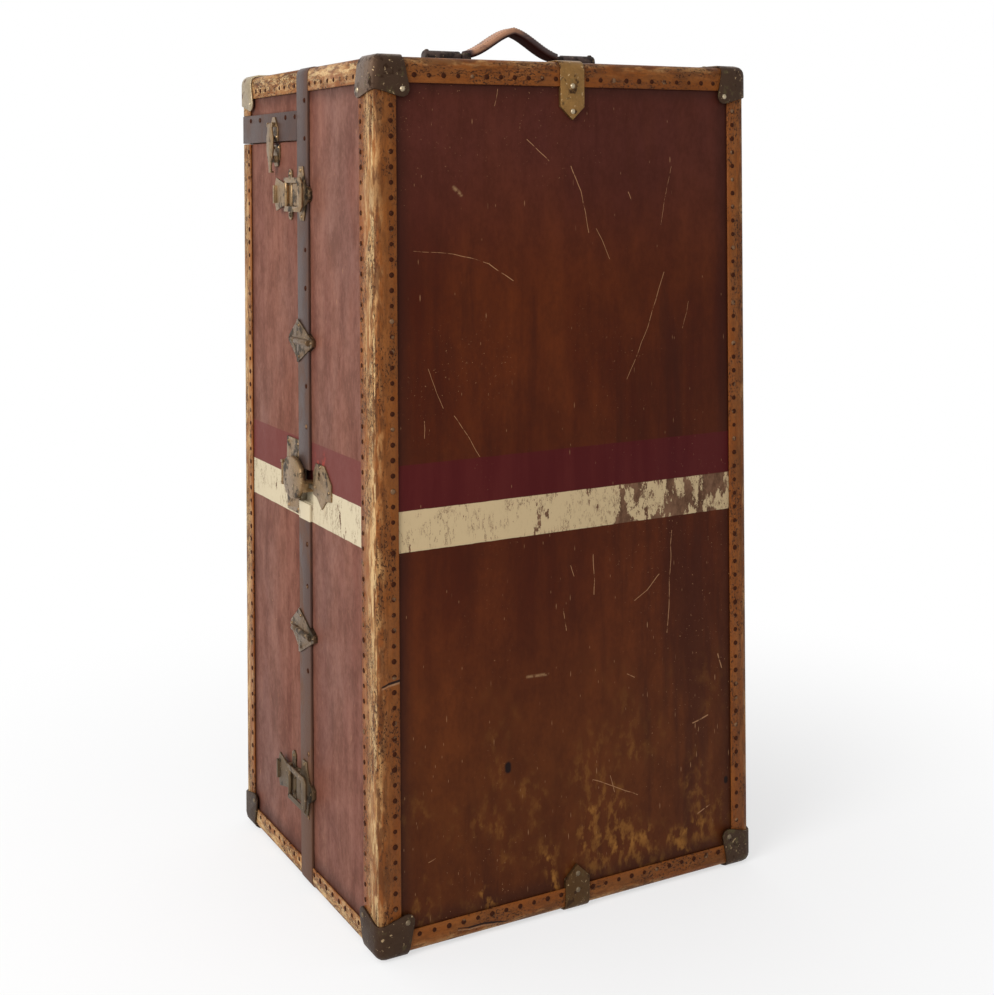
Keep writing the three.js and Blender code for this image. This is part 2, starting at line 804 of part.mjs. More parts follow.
function dowelPlate(z, isFront) {
  const sign = isFront ? -1 : 1;
  const edgeY = isFront ? frontEdgeY : backEdgeY;
  const reach = isFront ? dowelFrontReach : dowelBackReach;
  const seatOut = isFront ? bandOut : 0;
  const outer = seatOut + dowelPlateThickness;
  const half = dowelHalfHeight;
  const tip = dowelPlateThickness * 2;
  const outline = [
    [edgeY, z - half],
    [edgeY, z + half],
    [edgeY + sign * tip, z + half],
    [seamY + sign * reach, z + tip],
    [seamY + sign * reach, z - tip],
    [edgeY + sign * tip, z - half],
  ];
  const bossReach = isFront ? dowelBossFront : dowelBossBack;
  const boss = rod(
    'y',
    dowelBossRadius,
    sorted(edgeY, edgeY + sign * bossReach),
    [left(dowelOut), 0, z],
  );
  const foot = block(
    leftSpan(0, dowelOut),
    sorted(edgeY, edgeY + sign * bossReach),
    about(z, dowelBossRadius / 2),
  );
  const studs = [-1, 1].map((side) => leftStud(
    outer,
    edgeY + sign * dowelNailReach,
    z + side * (half - dowelNailReach),
    dowelNailRadius,
  ));
  studs.push(leftStud(
    outer,
    seamY + sign * (reach - dowelNailRadius),
    z,
    dowelNailRadius,
  ));
  const whole = fuse(prism('x', outline, leftSpan(0, outer)), boss, foot);
  if (isFront) {
    const bore = rod(
      'y',
      dowelBore,
      [edgeY - dowelBoreDepth, edgeY + overrun],
      [left(dowelOut), 0, z],
    );
    return fuse(cut(whole, rimBandZone, bore, panelBody), ...studs);
  }
  const pin = rod(
    'y',
    dowelPinRadius,
    [backEdgeY - dowelPinLength, backEdgeY + dowelBossBack / 2],
    [left(dowelOut), 0, z],
  );
  return fuse(cut(whole, panelBody), pin, ...studs);
}

// Lock: plate and bolt on the front half, domed hasp on the back half
const lockPlateReach = [47, 109]; // from the seam
const lockPlateTopRise = 35.6; // above the middle of the notch
const lockPlateDrop = 22.4;
const lockPlateThickness = 2;
const keyholeReach = 68;
const keyholeRise = 22;
const keyholeRadius = 3;
const keyholeSlotLength = 8;
const keyholeSlotWidth = 3;
const haspRise = 7; // hasp centre above the notch's middle
const haspHalfHeight = 29;
const haspReach = 29.5; // over the front half, from the seam
const haspBackReach = 44;
const haspThickness = 3.2;
const haspBevel = 2.4;
const haspOut = 4.6; // inner face
const haspPivotOut = 6;
const haspPivotReach = 52;
const haspBarrelRadius = 3.2;
const haspBarrelHalfLength = 13;
const haspCheekWidth = 4;
const haspEyeReach = [24, 27.4]; // from the seam
const haspEyeHalfHeight = 8;
const haspEyeDepth = 5.8; // inside the panel face
const haspBaseReach = 48;
const haspBaseHalfHeight = 50;
const haspBaseThickness = 2;
const haspZ = lockHeight + haspRise;
const haspPivotY = seamY + haspPivotReach;

// Shares of the lock plate's reach and of its height above and below the notch's middle
const lockPlateShares = [
  [0, 0.6], [0.16, 1], [0.62, 1], [1, 0.42], [1, -0.3], [0.72, -0.42], [0.47, -1],
  [0.22, -0.42], [0, -0.3],
];
const lockPlateStudShares = [[0.12, 0.1], [0.88, 0.1], [0.4, 0.9]];

function lockPlate() {
  const [near, far] = lockPlateReach;
  const place = ([u, v]) => [
    seamY - near - u * (far - near),
    lockHeight + (v > 0 ? v * lockPlateTopRise : v * lockPlateDrop),
  ];
  const spanX = leftSpan(0, lockPlateThickness);
  const plate = prism('x', lockPlateShares.map(place), spanX);
  const keyY = seamY - keyholeReach;
  const keyZ = lockHeight + keyholeRise;
  const through = leftSpan(-overrun, overrun);
  const keyhole = fuse(
    rod('x', keyholeRadius, through, [0, keyY, keyZ]),
    block(through, about(keyY, keyholeSlotWidth / 2), [keyZ - keyholeSlotLength, keyZ]),
  );
  const studs = lockPlateStudShares.map(place).map(
    ([y, z]) => leftStud(lockPlateThickness, y, z, dowelNailRadius),
  );
  return fuse(cut(plate, keyhole), ...studs);
}

function lockBolt() {
  return block(
    leftSpan(boltOut - boltWidth / 2, boltOut + boltWidth / 2),
    [boltTipY - boltLength, boltTipY],
    about(lockHeight, boltHeight / 2),
  );
}

function lockHaspBase() {
  const half = haspBaseHalfHeight;
  const edgeY = backEdgeY + fit;
  const farEdge = seamY + haspBaseReach;
  const spanX = leftSpan(0, haspBaseThickness);
  const plate = prism('x', [
    [edgeY, haspZ - half],
    [edgeY, haspZ + half],
    [farEdge, haspZ + half],
    [farEdge + haspThickness, haspZ],
    [farEdge, haspZ - half],
  ], spanX);
  const studs = [];
  for (const side of [-1, 1]) {
    for (const y of [edgeY + studRadius * 1.5, farEdge - studRadius * 1.5]) {
      const z = haspZ + side * (half - studRadius * 1.5);
      studs.push(leftStud(haspBaseThickness, y, z, dowelNailRadius));
    }
  }
  const cheeks = [-1, 1].map((side) => block(
    leftSpan(0, haspPivotOut + haspBarrelRadius),
    about(haspPivotY, haspBarrelRadius + fit),
    sorted(
      haspZ + side * (haspBarrelHalfLength + fit),
      haspZ + side * (haspBarrelHalfLength + haspCheekWidth),
    ),
  ));
  const bridge = block(
    spanX,
    [farEdge - haspThickness, haspPivotY + haspBarrelRadius + fit],
    about(haspZ, haspBarrelHalfLength + haspCheekWidth),
  );
  const hole = rod('z', latchPinHole, wholeZ, [left(haspPivotOut), haspPivotY, 0]);
  return fuse(cut(fuse(plate, bridge, ...cheeks), hole), ...studs);
}

// Shares of the hasp's reach to each side of the seam and of its half height
const haspShares = [
  [-0.8, -0.5], [-1, 0], [-0.85, 0.55], [-0.3, 0.9], [0.2, 1], [0.62, 0.85], [0.86, 0.42],
  [0.86, -0.42], [0.62, -0.85], [0.2, -1], [-0.3, -0.9],
];

function lockHasp() {
  const place = ([u, v]) => [
    seamY + (u < 0 ? u * haspReach : u * haspBackReach),
    haspZ + v * haspHalfHeight,
  ];
  const dome = prism(
    'x',
    haspShares.map(place),
    leftSpan(haspOut + haspBevel, haspOut + haspThickness + haspBevel),
    haspBevel,
  );
  const arm = block(
    leftSpan(haspOut, haspOut + haspThickness),
    [seamY + haspBackReach / 2, haspPivotY],
    about(haspZ, haspBarrelHalfLength),
  );
  const barrel = rod(
    'z',
    haspBarrelRadius,
    about(haspZ, haspBarrelHalfLength),
    [left(haspPivotOut), haspPivotY, 0],
  );
  const pin = rod(
    'z',
    latchPinRadius,
    about(haspZ, haspBarrelHalfLength + haspCheekWidth),
    [left(haspPivotOut), haspPivotY, 0],
  );
  const [eyeNear, eyeFar] = haspEyeReach;
  const eye = block(
    leftSpan(-haspEyeDepth, haspOut + haspThickness),
    [seamY - eyeFar, seamY - eyeNear],
    about(lockHeight, haspEyeHalfHeight),
  );
  const eyeRoom = block(
    leftSpan(boltOut - boltWidth / 2 - fit * 2, boltOut + boltWidth / 2 + fit * 2),
    [seamY - eyeFar - overrun, seamY - eyeNear + overrun],
    about(lockHeight, boltHeight / 2 + fit * 2),
  );
  return fuse(dome, arm, barrel, pin, cut(eye, eyeRoom));
}

// Lid latch on the left side
const lidLatchY = 98;
const lidLatchPivotRise = 24; // above the lid seam
const lidLatchPivotOut = 5.4; // beyond the lid band
const lidLatchPlateHalfWidth = 16;
const lidLatchPlateHeight = 34;
const lidLatchPlateThickness = 2;
const lidLatchCheekWidth = 3;
const lidLatchBarrelHalf = 8;
const lidLatchBarrelRadius = 2.8;
const lidLatchTongueHalf = 12;
const lidLatchDrop = 43; // finger tip below the lid seam
const lidLatchThickness = 2.4;
const keeperHalfWidth = 13;
const keeperSpan = [4, 34]; // below the lid seam
const keeperThickness = 2;
const keeperNubHalf = 5;
const lidLatchPivotZ = lidSeamZ + lidLatchPivotRise;
const lidLatchInnerOut = bandOut + lidLatchPivotOut;

function lidLatchBase() {
  const spanX = leftSpan(bandOut, bandOut + lidLatchPlateThickness);
  const low = lidBottomZ + fit;
  const plate = prism('x', [
    [lidLatchY - lidLatchPlateHalfWidth, low],
    [lidLatchY + lidLatchPlateHalfWidth, low],
    [lidLatchY + lidLatchPlateHalfWidth, low + lidLatchPlateHeight / 2],
    [lidLatchY + studRadius, low + lidLatchPlateHeight],
    [lidLatchY - studRadius, low + lidLatchPlateHeight],
    [lidLatchY - lidLatchPlateHalfWidth, low + lidLatchPlateHeight / 2],
  ], spanX);
  const cheeks = [-1, 1].map((side) => block(
    leftSpan(bandOut, lidLatchInnerOut + lidLatchBarrelRadius),
    sorted(
      lidLatchY + side * (lidLatchBarrelHalf + fit),
      lidLatchY + side * (lidLatchBarrelHalf + lidLatchCheekWidth),
    ),
    about(lidLatchPivotZ, lidLatchBarrelRadius + fit),
  ));
  const studs = [-1, 1].map((side) => leftStud(
    bandOut + lidLatchPlateThickness,
    lidLatchY + side * (lidLatchPlateHalfWidth - studRadius),
    low + studRadius * 1.5,
    dowelNailRadius,
  ));
  const hole = rod('y', latchPinHole, [0, farY], [left(lidLatchInnerOut), 0, lidLatchPivotZ]);
  return fuse(cut(fuse(plate, ...cheeks), hole), ...studs);
}

function lidLatchLever() {
  const axis = [left(lidLatchInnerOut), 0, lidLatchPivotZ];
  const tongueOut = lidLatchInnerOut + lidLatchBarrelRadius - lidLatchThickness;
  const tipZ = lidSeamZ - lidLatchDrop;
  const half = lidLatchTongueHalf;
  const neck = lidLatchBarrelHalf;
  const tongue = prism('x', [
    [lidLatchY - neck, lidLatchPivotZ],
    [lidLatchY + neck, lidLatchPivotZ],
    [lidLatchY + neck, lidLatchPivotZ - neck],
    [lidLatchY + half, lidLatchPivotZ - 2 * neck],
    [lidLatchY + half, lidSeamZ - half],
    [lidLatchY + neck / 2, tipZ + neck],
    [lidLatchY + neck / 2, tipZ],
    [lidLatchY - neck / 2, tipZ],
    [lidLatchY - neck / 2, tipZ + neck],
    [lidLatchY - half, lidSeamZ - half],
    [lidLatchY - half, lidLatchPivotZ - 2 * neck],
    [lidLatchY - neck, lidLatchPivotZ - neck],
  ], leftSpan(tongueOut, tongueOut + lidLatchThickness));
  const hook = block(
    leftSpan(tongueOut - lidLatchThickness, tongueOut + studSink),
    about(lidLatchY, neck / 2),
    [tipZ, tipZ + lidLatchThickness],
  );
  const barrel = rod('y', lidLatchBarrelRadius, about(lidLatchY, neck), axis);
  const pin = rod('y', latchPinRadius, about(lidLatchY, neck + lidLatchCheekWidth), axis);
  return fuse(tongue, hook, barrel, pin);
}

function lidLatchKeeper() {
  const [near, far] = keeperSpan;
  const half = keeperHalfWidth;
  const plate = prism('x', [
    [lidLatchY - half, lidSeamZ - near],
    [lidLatchY + half, lidSeamZ - near],
    [lidLatchY + half, lidSeamZ - far + half],
    [lidLatchY + half / 2, lidSeamZ - far],
    [lidLatchY - half / 2, lidSeamZ - far],
    [lidLatchY - half, lidSeamZ - far + half],
  ], leftSpan(0, keeperThickness));
  const nubOut = lidLatchInnerOut + lidLatchBarrelRadius - 2 * lidLatchThickness - fit;
  const nub = block(
    leftSpan(0, nubOut),
    about(lidLatchY, keeperNubHalf),
    [lidSeamZ - far + keeperNubHalf, lidSeamZ - far + keeperNubHalf * 3],
  );
  const studs = [-1, 1].map((side) => leftStud(
    keeperThickness,
    lidLatchY + side * (half - studRadius),
    lidSeamZ - near - studRadius,
    dowelNailRadius,
  ));
  return fuse(plate, nub, ...studs);
}

// Drawers and their rack in the front half
const drawerCount = 4;
const bayHeight = 195;
const rackBoard = 8;
const rackSetback = 6; // from the front half's edge
const drawerSideClearance = 1.5;
const drawerTopClearance = 6;
const drawerWall = 6;
const drawerFront = 10;
const drawerFloor = 4;
const drawerBackClearance = 4;
const notchRadius = 26;
const notchSteps = 8;
const rackX = insideX - fit;
const rackBackY = fit - insideY;
const rackMouthY = frontEdgeY - rackSetback;
const rackBottomZ = insideBottomZ;
const bayPitch = bayHeight + rackBoard;
const rackTopZ = rackBottomZ + rackBoard + drawerCount * bayPitch;

function drawerRack() {
  const spanY = [rackBackY, rackMouthY];
  const whole = block(about(0, rackX), spanY, [rackBottomZ, rackTopZ]);
  const bays = Array.from({ length: drawerCount }, (_, i) => {
    const low = rackBottomZ + rackBoard + i * bayPitch;
    return block(
      about(0, rackX - rackBoard),
      [rackBackY - overrun, rackMouthY + overrun],
      [low, low + bayHeight],
    );
  });
  return cut(whole, ...bays);
}

function drawer(index) {
  const low = rackBottomZ + rackBoard + (drawerCount - 1 - index) * bayPitch + fit;
  const high = low + bayHeight - drawerTopClearance;
  const halfX = rackX - rackBoard - drawerSideClearance;
  const backY = rackBackY + drawerBackClearance;
  const outer = block(about(0, halfX), [backY, rackMouthY], [low, high]);
  const inner = block(
    about(0, halfX - drawerWall),
    [backY + drawerWall, rackMouthY - drawerFront],
    [low + drawerFloor, high + overrun],
  );
  const finger = prism(
    'y',
    [
      ...arc(0, high, notchRadius, 180, 360, notchSteps),
      [notchRadius, high + overrun],
      [-notchRadius, high + overrun],
    ],
    [rackMouthY - drawerFront - overrun / 2, rackMouthY + overrun],
  );
  return cut(outer, inner, finger);
}

// Pull-out rail and hangers in the back half
const channelDrop = 15; // its top below the lid seam
const channelHeight = 22;
const channelHalfWidth = 17;
const channelWall = 3;
const channelSlotHalf = 6;
const braceReach = [28, 42]; // from the seam
const braceHeight = 14;
const sliderHeight = 8;
const sliderHalfWidth = 13.7;
const railSeamInset = 14; // of the rail's near end, from the seam
const railBackInset = 6; // of its far end, from the back wall
const railRadius = 8;
const railDrop = 18; // rail centre below the channel
const dropLegLength = 9;
const dropLegHalfWidth = 4;
// Places of the hangers along the rail, from its near end
const hangerPlaceShares = [41 / 192, 93 / 192, 145 / 192];
const hookWire = 2;
const hookRadius = 11.5; // to the middle of the wire
const hookSides = 6;
const hookSteps = 12;
const hangerNeck = 24; // from the hook's centre to the wooden arms
const hangerHalfWidth = 215;
const hangerRootHeight = 34;
const hangerEndHeight = 22;
const hangerSlope = 36;
const hangerThickness = 14;
const channelTopZ = bodyTopZ - channelDrop;
const channelBottomZ = channelTopZ - channelHeight;
const railZ = channelBottomZ - railDrop;
const railNearY = seamY + railSeamInset;
const railFarY = insideY - railBackInset;
const hookZ = railZ + railRadius + fit - (hookRadius - hookWire);

function railMount() {
  const spanY = [seamY + braceReach[0], insideY - fit];
  const channel = block(about(0, channelHalfWidth), spanY, [channelBottomZ, channelTopZ]);
  const room = block(
    about(0, channelHalfWidth - channelWall),
    [spanY[0] - overrun, spanY[1] + overrun],
    [channelBottomZ + channelWall, channelTopZ - channelWall],
  );
  const slot = block(
    about(0, channelSlotHalf),
    [spanY[0] - overrun, spanY[1] + overrun],
    [channelBottomZ - overrun, channelTopZ - channelWall],
  );
  const brace = block(
    about(0, insideX - fit),
    braceReach.map((reach) => seamY + reach),
    [channelTopZ - channelWall, channelTopZ - channelWall + braceHeight],
  );
  return fuse(cut(channel, room, slot), brace);
}

function hangerRail() {
  const [near, far] = [railNearY, railFarY];
  const sliderBottom = channelBottomZ + channelWall + fit;
  const slider = block(
    about(0, sliderHalfWidth),
    [near, far],
    [sliderBottom, sliderBottom + sliderHeight],
  );
  const rail = rod('y', railRadius, [near, far], [0, 0, railZ]);
  const legs = [[near, near + dropLegLength], [far - dropLegLength, far]].map((spanY) => block(
    about(0, dropLegHalfWidth),
    spanY,
    [railZ, sliderBottom + sliderHeight / 2],
  ));
  return fuse(slider, rail, ...legs);
}

class HookCurve extends THREE.Curve {
  getPoint(t, target = new THREE.Vector3()) {
    const angle = THREE.MathUtils.degToRad(-60 + 330 * t);
    return target.set(hookRadius * Math.cos(angle), 0, hookRadius * Math.sin(angle));
  }
}

function hanger(index) {
  const y = railNearY + hangerPlaceShares[index] * (railFarY - railNearY);
  const section = new THREE.Shape(arc(0, 0, hookWire, 0, 360, hookSides).slice(0, hookSides)
    .map(([u, v]) => new THREE.Vector2(u, v)));
  const wire = new THREE.ExtrudeGeometry(section, {
    steps: hookSteps,
    extrudePath: new HookCurve(),
  });
  wire.translate(0, y, hookZ);
  const armTopZ = hookZ - hangerNeck;
  const neck = rod(
    'z',
    hookWire,
    [armTopZ - hookWire, hookZ - hookRadius + hookWire / 2],
    [0, y, 0],
    hookSides,
  );
  const middle = hangerHalfWidth / 2;
  const arms = prism('y', [
    [0, armTopZ],
    [middle, armTopZ - hangerSlope / 3],
    [hangerHalfWidth, armTopZ - hangerSlope],
    [hangerHalfWidth, armTopZ - hangerSlope - hangerEndHeight],
    [middle, armTopZ - hangerSlope / 3 - hangerEndHeight],
    [0, armTopZ - hangerRootHeight],
    [-middle, armTopZ - hangerSlope / 3 - hangerEndHeight],
    [-hangerHalfWidth, armTopZ - hangerSlope - hangerEndHeight],
    [-hangerHalfWidth, armTopZ - hangerSlope],
    [-middle, armTopZ - hangerSlope / 3],
  ], about(y, hangerThickness / 2));
  return fuse(solid(wire), neck, arms);
}

// Finishes: colour, roughness, metalness
const finishes = {
  fibre: [0x6f3a2c, 0.62, 0],
  binding: [0xa97440, 0.6, 0],
  iron: [0x51463f, 0.5, 0.8],
  brass: [0x86733f, 0.45, 0.85],
  bronze: [0x5d564c, 0.5, 0.8],
  leather: [0x5a2f20, 0.6, 0],
  wood: [0xa67c4c, 0.65, 0],
  steel: [0x9a968e, 0.35, 0.9],
};

const trunk = new THREE.Group();

function part(name, shape, finish) {
  const { vertProperties, triVerts } = shape.getMesh();
  const geometry = new THREE.BufferGeometry();
  geometry.setAttribute('position', new THREE.BufferAttribute(vertProperties, 3));
  geometry.setIndex(new THREE.BufferAttribute(triVerts, 1));
  geometry.computeVertexNormals();
  const [color, roughness, metalness] = finishes[finish];
  const material = new THREE.MeshStandardMaterial({
    color,
    roughness,
    metalness,
    flatShading: true,
  });
  const mesh = new THREE.Mesh(geometry, material);
  mesh.name = name;
  trunk.add(mesh);
}

// Front half
part('front_shell', frontShell(), 'fibre');
part('front_rim_band', frontRimBand(), 'iron');
part('front_binding_left', verticalBinding(-1, -1), 'binding');
part('front_binding_right', verticalBinding(1, -1), 'binding');
part('front_binding_top', edgeBinding(-1, true), 'binding');
part('front_binding_bottom', edgeBinding(-1, false), 'binding');
part('front_cap_top_left', cornerCap(-1, -1, 1), 'bronze');
part('front_cap_top_right', cornerCap(1, -1, 1), 'bronze');
part('front_cap_bottom_left', cornerCap(-1, -1, -1), 'bronze');
part('front_cap_bottom_right', cornerCap(1, -1, -1), 'bronze');
part('front_clamp_top', edgeClamp(true), 'brass');
part('front_clamp_bottom', edgeClamp(false), 'brass');
part('handle_bracket_left', handleBracket(-1), 'iron');
part('handle_bracket_right', handleBracket(1), 'iron');
part('handle_strap', handleStrap(), 'leather');
part('hinge_leaf_front', mainHingeLeaf(true), 'iron');
part('latch_catch_upper', latchCatch(latchUpperZ), 'brass');
part('latch_catch_lower', latchCatch(latchLowerHeight), 'brass');
part('dowel_upper_front', dowelPlate(dowelHeights.upper, true), 'brass');
part('dowel_lower_front', dowelPlate(dowelHeights.lower, true), 'brass');
part('lock_plate', lockPlate(), 'brass');
part('lock_bolt', lockBolt(), 'steel');
part('drawer_rack', drawerRack(), 'wood');
for (let i = 0; i < drawerCount; i += 1) {
  part(`drawer_${i + 1}`, drawer(i), 'wood');
}

// Back half
part('back_shell', backShell(), 'fibre');
part('back_binding_left', verticalBinding(-1, 1), 'binding');
part('back_binding_right', verticalBinding(1, 1), 'binding');
part('back_binding_bottom', edgeBinding(1, false), 'binding');
part('back_cap_bottom_left', cornerCap(-1, 1, -1), 'bronze');
part('back_cap_bottom_right', cornerCap(1, 1, -1), 'bronze');
part('hinge_leaf_back', mainHingeLeaf(false), 'iron');
part('hinge_pin', mainHingePin(), 'steel');
part('lid_hinge_leaf_back', lidHingeLeaf(false), 'iron');
part('latch_base_upper', latchBase(latchUpperZ), 'brass');
part('latch_base_lower', latchBase(latchLowerHeight), 'brass');
part('latch_lever_upper', latchLever(latchUpperZ), 'brass');
part('latch_lever_lower', latchLever(latchLowerHeight), 'brass');
part('latch_bail_upper', latchBail(latchUpperZ), 'brass');
part('latch_bail_lower', latchBail(latchLowerHeight), 'brass');
part('lock_hasp_base', lockHaspBase(), 'brass');
part('lock_hasp', lockHasp(), 'brass');
part('dowel_upper_back', dowelPlate(dowelHeights.upper, false), 'brass');
part('dowel_lower_back', dowelPlate(dowelHeights.lower, false), 'brass');
part('lid_latch_keeper', lidLatchKeeper(), 'brass');
part('rail_mount', railMount(), 'wood');
part('hanger_rail', hangerRail(), 'steel');
for (let i = 0; i < hangerPlaceShares.length; i += 1) {
  part(`hanger_${i + 1}`, hanger(i), 'wood');
}

// Lid
part('lid_shell', lidShell(), 'fibre');
part('lid_band', lidBand(), 'iron');
part('lid_binding', lidBinding(), 'binding');
part('lid_cap_left', cornerCap(-1, 1, 1), 'bronze');
part('lid_cap_right', cornerCap(1, 1, 1), 'bronze');
part('lid_hinge_leaf_top', lidHingeLeaf(true), 'iron');
part('lid_latch_base', lidLatchBase(), 'brass');
part('lid_latch_lever', lidLatchLever(), 'brass');

export default trunk;
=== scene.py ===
"""Looks of an old wardrobe trunk that stands on its end: worn fibre panels with painted stripes,
nailed bindings, iron bands, bronze corner caps, brass fittings, a leather handle and a fitted inside.
Metres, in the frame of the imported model."""

import json
import math

import bmesh
import bpy
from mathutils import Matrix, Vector

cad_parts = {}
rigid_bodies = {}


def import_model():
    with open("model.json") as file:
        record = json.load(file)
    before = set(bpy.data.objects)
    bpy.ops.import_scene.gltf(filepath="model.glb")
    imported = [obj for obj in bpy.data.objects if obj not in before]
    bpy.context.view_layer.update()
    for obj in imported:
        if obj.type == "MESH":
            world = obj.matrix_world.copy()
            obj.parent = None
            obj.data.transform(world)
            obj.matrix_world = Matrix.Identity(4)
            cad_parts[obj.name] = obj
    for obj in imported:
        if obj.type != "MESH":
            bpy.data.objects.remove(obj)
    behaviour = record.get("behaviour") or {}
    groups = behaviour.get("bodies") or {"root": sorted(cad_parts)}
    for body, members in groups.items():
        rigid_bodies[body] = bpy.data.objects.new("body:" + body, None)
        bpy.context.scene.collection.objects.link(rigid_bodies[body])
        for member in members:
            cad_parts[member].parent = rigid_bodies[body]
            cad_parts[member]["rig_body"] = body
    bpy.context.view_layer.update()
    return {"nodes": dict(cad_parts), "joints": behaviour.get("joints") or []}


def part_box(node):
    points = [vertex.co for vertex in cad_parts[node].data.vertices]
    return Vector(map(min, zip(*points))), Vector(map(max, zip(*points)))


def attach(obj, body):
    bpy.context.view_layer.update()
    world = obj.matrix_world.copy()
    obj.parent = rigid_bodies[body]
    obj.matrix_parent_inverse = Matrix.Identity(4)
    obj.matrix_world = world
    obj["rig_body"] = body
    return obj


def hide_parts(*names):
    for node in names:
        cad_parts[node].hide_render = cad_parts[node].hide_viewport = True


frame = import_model()

bl_info = {
    "name": "Wardrobe trunk",
    "version": (1, 0, 0),
    "blender": (4, 5, 0),
    "location": "View3D > Sidebar > Trunk",
    "description": "Builds the looks of a worn wardrobe trunk around its solid model",
    "category": "Object",
}

MM = 0.001


# Places taken from the solid model

TRUNK_LOW = Vector(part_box("front_binding_bottom")[0])
TRUNK_HIGH = Vector(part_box("lid_binding")[1])
TRUNK_HIGH.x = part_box("front_binding_right")[1].x
BAND_LOW, BAND_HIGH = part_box("front_rim_band")
BAND_MIDDLE = (BAND_LOW.y + BAND_HIGH.y) / 2
LID_BAND_LOW, LID_BAND_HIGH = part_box("lid_band")
LID_SEAM = (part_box("back_shell")[1].z + LID_BAND_LOW.z) / 2
SHELL_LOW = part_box("front_shell")[0]


# Settings that a user would change

def colour(name, red, green, blue, description):
    return bpy.props.FloatVectorProperty(name=name, description=description, default=(red, green, blue),
                                         min=0, max=1, size=3, subtype="COLOR")


def length(name, value, description):
    return bpy.props.FloatProperty(name=name, description=description, default=value, min=0,
                                   precision=5, unit="LENGTH")


def strength(name, value, description):
    return bpy.props.FloatProperty(name=name, description=description, default=value, min=0)


class TrunkPaint(bpy.types.PropertyGroup):
    fibre_deep: colour("Deep fibre", 0.052, 0.0082, 0.0024, "Panels where they are dark")
    fibre_warm: colour("Warm fibre", 0.114, 0.0240, 0.0052, "Panels where they are rubbed warm")
    # The left panel is laid lighter and greyer than the front, partly as painted sheen of the bright
    # backdrop
    fibre_left_sheen: colour("Left fibre with sheen", 0.215, 0.085, 0.055, "Side panels, faded by the light")
    scuff: colour("Scuffs", 0.300, 0.125, 0.026, "Ochre rubbing low on the front")
    scratch: colour("Scratches", 0.420, 0.220, 0.105, "Pale lines scratched into the panels")
    cream: colour("Cream stripe", 0.520, 0.440, 0.300, "Painted stripe")
    maroon: colour("Maroon stripe", 0.066, 0.0065, 0.0075, "Painted stripe above the cream one")
    cream_low: length("Cream stripe from", 0.4915, "Height of the cream stripe's lower edge")
    cream_high: length("Cream stripe to", 0.5420, "Height of the cream stripe's upper edge")
    maroon_high: length("Maroon stripe to", 0.5980, "Height of the maroon stripe's upper edge")


class TrunkFinish(bpy.types.PropertyGroup):
    binding: colour("Binding", 0.205, 0.054, 0.0085, "Edge bindings")
    binding_worn: colour("Worn binding", 0.485, 0.280, 0.112, "Bindings where the edge is rubbed pale")
    binding_crack: colour("Cracks", 0.050, 0.017, 0.006, "Cracks in the bindings")
    iron: colour("Iron", 0.080, 0.047, 0.039, "Bands and hinges")
    rust: colour("Rust", 0.120, 0.047, 0.018, "Rust on the iron")
    bronze: colour("Cap bronze", 0.185, 0.118, 0.078, "Corner caps")
    brass: colour("Aged brass", 0.320, 0.205, 0.105, "Latches and lock")
    tarnish: colour("Tarnish", 0.055, 0.038, 0.024, "Dark film on the brass")
    leather: colour("Handle leather", 0.046, 0.012, 0.008, "Handle where it is dark")
    leather_worn: colour("Worn leather", 0.440, 0.215, 0.120, "Handle where it is rubbed to tan")
    wood: colour("Wood", 0.400, 0.215, 0.085, "Drawers, rack, rail mount and hangers")
    lining: colour("Lining", 0.520, 0.430, 0.300, "Cloth that lines the inside")


class TrunkNails(bpy.types.PropertyGroup):
    pitch: length("Nail pitch", 0.0187, "From one binding nail to the next")
    radius: length("Nail radius", 0.0033, "Radius of a binding nail's head")
    rise: length("Nail height", 0.0011, "Height of a binding nail's head")
    rivet_radius: length("Rivet radius", 0.0034, "Radius of an iron band's rivets")
    stitch_pitch: length("Stitch pitch", 0.0042, "From one stitch of the handle to the next")


class TrunkStage(bpy.types.PropertyGroup):
    floor: colour("Floor", 0.90, 0.90, 0.90, "Colour of the floor")
    key_power: bpy.props.FloatProperty(
        name="Key lamp",
        description="Power of the large lamp at the front left",
        default=100.0,
        min=0,
        unit="POWER",
    )
    sky_dim: strength("Dim side", 0.22, "Brightness of the room away from the white backdrop")
    sky_bright: strength("Bright side", 0.95, "Brightness of the white backdrop behind and to the left")


# Node trees

